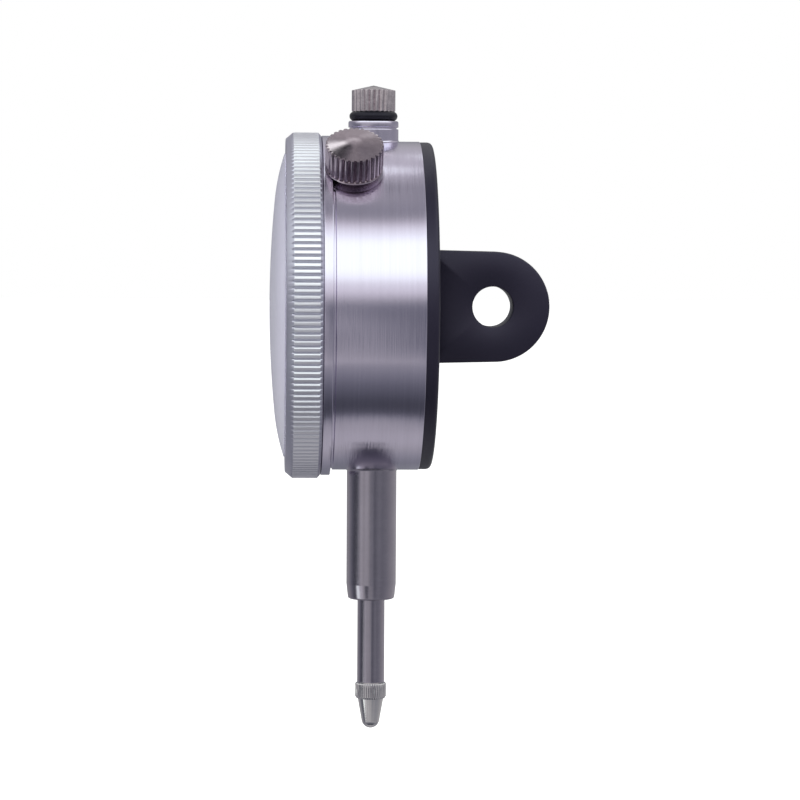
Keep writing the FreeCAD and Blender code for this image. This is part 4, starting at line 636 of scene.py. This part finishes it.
def collar_sleeve():
    """The collar on the top boss, with a turned groove at its foot."""
    shape = bmesh.new()
    foot = DIAL_HEIGHT + TOP_BOSS
    groove_top = foot + 0.25
    bore, groove = 2.22, 3.7
    profile = [(bore, foot), (groove, foot), (groove, groove_top), (STEM, groove_top),
               (STEM, SLEEVE_HIGH.z), (bore, SLEEVE_HIGH.z)]
    spun(shape, softened(profile, {3: 0.3, 4: 0.35}, 6, closed=True), SPINDLE_AXIS, 192, closed=True)
    return finished("collar_sleeve", shape, "housing", "satin_nickel", ["upper_sleeve"])


def rubber_ring():
    """The round rubber ring under the cap."""
    shape = bmesh.new()
    middle = (RUBBER_LOW.z + RUBBER_HIGH.z) / 2
    half = (RUBBER_HIGH.z - RUBBER_LOW.z) / 2
    centre = RUBBER_HIGH.x - half
    profile = [(centre + half * math.cos(math.tau * step / 32), middle + half * math.sin(math.tau * step / 32))
               for step in range(32)]
    spun(shape, profile, SPINDLE_AXIS, 128, closed=True)
    return finished("rubber_ring", shape, "measuring_spindle", "black_rubber", ["bumper_ring"])


def knurled_cap():
    """The lifting cap: flutes from end to end, and a low cone."""
    shape = bmesh.new()
    low = CAP_LOW.z
    root, tip, shoulder, count = 3.2, 3.5, low + 3.35, 24
    slope = (CAP_HIGH.z - shoulder) / tip
    cone = [(radius, CAP_HIGH.z - radius * slope) for radius in (root, root - 0.12, root - 0.3, root / 2, 0)]
    profile = [(1.5, low), (tip, low), (tip, shoulder)] + cone
    rule = fluted(root, tip, count, 0.7)
    spun(shape, softened(profile, {1: 0.12, 2: 0.08}, 3), SPINDLE_AXIS, count * 10, radius_at=rule)
    return finished("knurled_cap", shape, "measuring_spindle", "plated_knurl", ["lifting_cap"], angle=26)


def knurled_knob():
    """The clamp knob: flutes over a plain rim, and a low cone."""
    shape = bmesh.new()
    base = 27.0
    root, tip, shoulder, slope, count = 4.1, 4.5, base + 4.5, 0.2, 30
    cone = [(radius, shoulder + (tip - radius) * slope)
            for radius in (root, root - 0.12, root - 0.3, root / 2, 0)]
    bead = [(4.15, base), (4.38, base + 0.08), (4.46, base + 0.22), (4.4, base + 0.38), (4.15, base + 0.48)]
    profile = [(1.5, 24.6), (1.5, base)] + bead + [(tip, base + 0.62), (tip, shoulder)] + cone
    rule = fluted(root, tip, count, 0.62, above=base + 0.5)
    spun(shape, softened(profile, {8: 0.1}, 3), CLAMP_AXIS, count * 10, radius_at=rule)
    return finished("knurled_knob", shape, "clamp_screw", "plated_knurl", ["clamp_knob"], angle=26)


# Dial and hands

FACING_OUT = Matrix.Rotation(math.pi / 2, 4, "X")
NUMBERS_RING = 18.4
COUNTER_NUMBERS_RING = 5.0
COUNTER_RING = 4.1


def numeral(target, text, size, x, y, z):
    """Adds a plain printed number, centred on a place of the dial."""
    lettering = bpy.data.curves.new("numeral", "FONT")
    lettering.body = text
    lettering.size = size
    lettering.align_x = "CENTER"
    lettering.align_y = "CENTER"
    lettering.resolution_u = 3
    holder = bpy.data.objects.new("numeral", lettering)
    flat = bpy.data.meshes.new_from_object(holder)
    flat.transform(Matrix.Translation((x, y, z)) @ FACING_OUT)
    target.from_mesh(flat)
    bpy.data.meshes.remove(flat)
    bpy.data.objects.remove(holder)
    bpy.data.curves.remove(lettering)


def mark(target, centre, y, angle, inner, outer, width):
    """Adds a printed line of a scale, clockwise from the top by its angle."""
    out = Vector((math.sin(angle), 0, math.cos(angle)))
    side = Vector((math.cos(angle), 0, -math.sin(angle))) * width / 2
    middle = Vector((centre.x, y, centre.z))
    corners = [middle + out * inner - side, middle + out * outer - side,
               middle + out * outer + side, middle + out * inner + side]
    target.faces.new([target.verts.new(corner) for corner in corners])


def line_round(target, centre, y, radius, width):
    """Adds a printed circle."""
    axis = Matrix.Translation((centre.x, 0, centre.z)) @ Matrix.Rotation(-math.pi / 2, 4, "X")
    spun(target, [(radius, y), (radius + width, y)], axis, 128)


def outer_scale():
    """The turning scale: 100 lines and the numbers 0 to 90, clockwise."""
    shape = bmesh.new()
    y = RING_LOW.y - INK
    centre = Vector((0, 0, DIAL_HEIGHT))
    for index in range(100):
        inner, width = (22.2, 0.13)
        if index % 10 == 0:
            inner, width = (20.6, 0.28)
        elif index % 5 == 0:
            inner, width = (21.4, 0.2)
        mark(shape, centre, y, math.tau * index / 100, inner, 23.5, width)
    for index in range(10):
        angle = math.tau * index / 10
        numeral(shape, str(index * 10), 3.5, NUMBERS_RING * math.sin(angle), y,
                DIAL_HEIGHT + NUMBERS_RING * math.cos(angle))
    return finished("outer_scale", shape, "bezel", "black_paint", [])


def counter_scale():
    """The small fixed scale of whole turns, whose numbers run the other way."""
    shape = bmesh.new()
    y = RING_LOW.y - INK
    for index in range(10):
        angle = -math.tau * index / 10
        mark(shape, COUNTER_AXIS, y, angle, 3.5, COUNTER_RING, 0.16)
        numeral(shape, str(index), 1.25, COUNTER_AXIS.x + COUNTER_NUMBERS_RING * math.sin(angle), y,
                COUNTER_AXIS.z + COUNTER_NUMBERS_RING * math.cos(angle))
    line_round(shape, COUNTER_AXIS, y, COUNTER_RING, 0.09)
    return finished("counter_scale", shape, "housing", "black_paint", [])


def blade(target, outline, rear, front, edge):
    """A thin hand from a convex outline in the dial's plane, with bevelled edges."""
    middle = sum((Vector(point) for point in outline), Vector((0, 0))) / len(outline)
    rows = []
    for level, inset in ((rear, 0.0), (front + edge, 0.0), (front, edge)):
        row = []
        for x, z in outline:
            near = Vector((x, z)) - middle
            short = Vector((near.x - math.copysign(min(inset, abs(near.x) / 2), near.x),
                            near.y - math.copysign(inset, near.y)))
            row.append(target.verts.new(Vector((middle.x + short.x, level, middle.y + short.y))))
        rows.append(row)
    for low, high in zip(rows, rows[1:]):
        for index in range(len(outline)):
            following = (index + 1) % len(outline)
            target.faces.new([low[index], low[following], high[following], high[index]])
    target.faces.new(rows[0])
    target.faces.new(rows[-1])


def main_hand():
    """The long hand with its broad tail and turned hub."""
    shape = bmesh.new()
    front = -11.75
    outline = [(-0.65, 0), (-1.15, -6.5), (1.15, -6.5), (0.65, 0), (0.12, 21.3), (-0.12, 21.3)]
    blade(shape, [(x, z + DIAL_HEIGHT) for x, z in outline], front + 0.25, front, 0.06)
    hub = [(0, front + 0.25), (2.3, front + 0.25), (2.3, front - 0.4), (1.9, front - 0.6), (0.9, front - 0.6),
           (0.8, front - 0.5), (0, front - 0.5)]
    spun(shape, softened(hub, {1: 0.05, 2: 0.1, 3: 0.15}, 4), DIAL_AXIS, 96)
    return finished("main_hand", shape, "pointer_train", "black_paint", ["pointer"])


def turns_hand():
    """The small hand of the turn counter."""
    shape = bmesh.new()
    front = -11.05
    outline = [(-0.25, -1.4), (0.25, -1.4), (0.08, 3.5), (-0.08, 3.5)]
    blade(shape, [(x + COUNTER_AXIS.x, z + COUNTER_AXIS.z) for x, z in outline], front + 0.25, front, 0.04)
    axis = Matrix.Translation((COUNTER_AXIS.x, 0, COUNTER_AXIS.z - DIAL_HEIGHT)) @ DIAL_AXIS
    hub = [(0, front + 0.25), (0.85, front + 0.25), (0.85, front), (0, front)]
    spun(shape, softened(hub, {1: 0.04, 2: 0.08}, 4), axis, 64)
    return finished("turns_hand", shape, "counter_train", "black_paint", ["counter_hand"])


def dress_nodes():
    """Every node gets the finish of its slot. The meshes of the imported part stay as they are."""
    slots = {part["node"]: part["material_slot"] for part in frame["record"]["subparts"]}
    for name, node in frame["nodes"].items():
        node.data.materials.clear()
        node.data.materials.append(FINISH[slots[name]])


# Studio

TENT = 1.6
FLOOR = -0.12
CARD_SOFTNESS = 4

# The tent's light by elevation in degrees, on the camera's side and on the far side
NEAR_SIDE = [(-90, 0.47), (-85, 0.44), (-82, 0.40), (-79, 0.28), (-77, 0.12), (-71, 0.08), (-65, 0.09),
             (-60, 0.13), (-54, 0.17), (-47, 0.25), (-41, 0.33), (-37.5, 0.38), (-35.5, 0.58), (-33, 0.46),
             (-27, 0.42), (-10, 0.36), (-3, 0.28), (2, 0.26), (5, 0.38), (8, 0.62), (12, 0.90), (18, 1.05),
             (21, 1.40), (26, 1.60), (46, 1.60), (57, 0.98), (61, 0.58), (65, 0.36), (70, 0.34), (78, 0.42),
             (90, 0.50)]
FAR_SIDE = [(-90, 0.50), (-70, 0.53), (-62, 0.45), (-54, 0.37), (-46, 0.30), (-36, 0.24), (-20, 0.21),
            (10, 0.28), (24, 0.42), (36, 0.55), (54, 0.66), (65, 0.70), (67, 1.30), (73, 1.30), (75.5, 0.72),
            (80, 0.60), (90, 0.50)]

# The light near the level of the camera, by the angle round the part: 0 is the camera, -90 the dial
ROUND_ABOUT = [(-180, 0.45), (-130, 0.42), (-108, 0.25), (-92, 0.12), (-70, 0.08), (-61, 0.34), (-52, 0.66),
               (-44, 0.62), (-37, 0.46), (-30, 0.66), (-20, 0.66), (-10, 0.42), (0, 0.25), (12, 0.14),
               (22, 0.24), (35, 0.30), (50, 0.25), (70, 0.30), (100, 0.42), (130, 0.52), (180, 0.45)]

# Small cards in the tent: direction, half width in degrees and light
CARDS = [((-0.36, -0.26, 0.90), 8.0, 0.40), ((-0.33, 0.30, 0.90), 9.0, 0.50), ((0.0, 0.17, 0.98), 5.0, 0.40),
         ((-0.03, -0.17, 0.98), 7.0, 0.04), ((-0.24, -0.20, 0.95), 3.0, 3.0), ((-0.62, 0.22, 0.76), 2.5, 1.8),
         ((0.34, -0.87, -0.35), 7.0, 1.7), ((0.58, -0.72, -0.38), 6.0, 0.85), ((0.86, -0.38, -0.34), 7.0, 0.12),
         ((-0.16, 0.30, 0.94), 9.0, 0.40), ((0.10, 0.27, 0.96), 8.0, 0.36)]


def studio():
    """A pale floor, a world, a soft tent that only reflections see, and two lamps."""
    floor_mesh = bmesh.new()
    bmesh.ops.create_grid(floor_mesh, x_segments=1, y_segments=1, size=6.0)
    data = bpy.data.meshes.new("floor")
    floor_mesh.to_mesh(data)
    floor_mesh.free()
    floor = bpy.data.objects.new("floor", data)
    floor.location = (0, 0, FLOOR)
    bpy.context.scene.collection.objects.link(floor)
    floor.visible_glossy = False
    paint, maker, shader = material("floor_paint", (0.80, 0.80, 0.80), roughness=0.9)
    seen = Shade(maker.tree, maker.node("LightPath").socket.node.outputs["Is Camera Ray"])
    maker.tree.links.new((seen * 0.7).socket, shader.inputs["Emission Strength"])
    shader.inputs["Emission Color"].default_value = (1.0, 1.0, 1.0, 1.0)
    floor.data.materials.append(paint)
    world = bpy.data.worlds.new("studio")
    bpy.context.scene.world = world
    world.use_nodes = True
    tree = world.node_tree
    background = next(node for node in tree.nodes if node.type == "BACKGROUND")
    maker = Shade(tree)
    path = maker.node("LightPath")
    rays = path.socket.node.outputs
    shown = Shade(tree, rays["Is Camera Ray"]).math("MAXIMUM", Shade(tree, rays["Is Transmission Ray"]))
    tree.links.new((0.62 + shown * 0.38).socket, background.inputs["Strength"])
    background.inputs["Color"].default_value = (1.0, 1.0, 1.0, 1.0)
    tent()
    lamp("key", (0.9, -0.35, 0.95), 0.9, 16.0)
    lamp("fill", (0.5, 0.9, 0.3), 0.9, 5.0)


def tent():
    """A tent of soft boxes and grey cards that only reflections see."""
    shape = bmesh.new()
    bmesh.ops.create_icosphere(shape, subdivisions=5, radius=TENT)
    data = bpy.data.meshes.new("tent")
    shape.to_mesh(data)
    shape.free()
    dome = bpy.data.objects.new("tent", data)
    bpy.context.scene.collection.objects.link(dome)
    for ray in ("camera", "diffuse", "transmission", "shadow", "volume_scatter"):
        setattr(dome, "visible_" + ray, False)
    made = bpy.data.materials.new("tent_cloth")
    made.use_nodes = True
    tree = made.node_tree
    tree.nodes.clear()
    maker = Shade(tree)
    x, y, z = parts_of(position(maker))
    degrees = 180 / math.pi
    height = z.math("ARCTAN2", (x * x + y * y).math("SQRT")) * degrees
    turn = y.math("ARCTAN2", x) * degrees
    near = glow_along(height, NEAR_SIDE, -90.0, 90.0)
    far = glow_along(height, FAR_SIDE, -90.0, 90.0)
    level = glow_along(turn, ROUND_ABOUT, -180.0, 180.0)
    facing = (x * 2.2 + 0.5).clamp()
    upright = facing * near + (1.0 - facing) * far
    low = (1.6 - (height + 14.0).math("ABSOLUTE") / 16.0).clamp()
    aside = (y.math("ABSOLUTE") * 3.2 - 0.2).clamp()
    share = low * aside
    strength = (share * level + (1.0 - share) * upright) * 2.0
    for (ahead, beside, above), half, light in CARDS:
        length = math.sqrt(ahead ** 2 + beside ** 2 + above ** 2) * TENT
        near_card = (x * ahead + y * beside + z * above) / length
        edge, soft = math.cos(math.radians(half)), math.cos(math.radians(half + CARD_SOFTNESS))
        seen = ((near_card - soft) / (edge - soft)).clamp()
        strength = strength * (1.0 - seen) + seen * light
    shade = (strength * 2.2).tint((0.90, 0.965, 1.19), (1.0, 1.0, 1.0))
    hue = (strength * 1.3 - 1.1).clamp().blend(shade, (0.97, 1.08, 1.0, 1.0))
    glow = strength.node("Emission", {"Color": hue, "Strength": strength})
    out = tree.nodes.new("ShaderNodeOutputMaterial")
    tree.links.new(glow.socket, out.inputs["Surface"])
    dome.data.materials.append(made)


def glow_along(angle, stops, low, high):
    """The light of the tent along an angle: stops are degrees and brightness, halved to fit a ramp."""
    share = (angle - low) / (high - low)
    ramp = [((place - low) / (high - low), light / 2.0) for place, light in stops]
    return share.node("ValToRGB", {0: share}, stops=ramp)


def lamp(name, place, size, power):
    """A square lamp aimed at the middle of the part."""
    data = bpy.data.lights.new(name, "AREA")
    data.size = size
    data.energy = power
    light = bpy.data.objects.new(name, data)
    light.location = place
    direction = Vector((0, 0, 0.03)) - Vector(place)
    light.rotation_euler = direction.to_track_quat("-Z", "Y").to_euler()
    light.visible_glossy = False
    bpy.context.scene.collection.objects.link(light)


def camera():
    """The photograph's view: level with the part, from its right side."""
    data = bpy.data.cameras.new("camera")
    data.lens = 126.4
    data.sensor_width = 36.0
    eye = bpy.data.objects.new("camera", data)
    place = Vector((0.450, -0.0177, 0.0487))
    target = Vector((0.0, 0.0045, 0.0209))
    turn = (target - place).to_track_quat("-Z", "Y").to_matrix().to_4x4()
    roll = Matrix.Rotation(math.radians(0.33), 4, "Z")
    eye.matrix_world = Matrix.Translation(place) @ turn @ roll
    bpy.context.scene.collection.objects.link(eye)
    bpy.context.scene.camera = eye


scene = bpy.context.scene
scene.view_settings.view_transform = "Standard"
camera()
studio()
dress_nodes()
barrel()
bezel()
domed_crystal()
cover()
stem_tube()
ball_point()
collar_sleeve()
rubber_ring()
knurled_cap()
knurled_knob()
outer_scale()
counter_scale()
main_hand()
turns_hand()
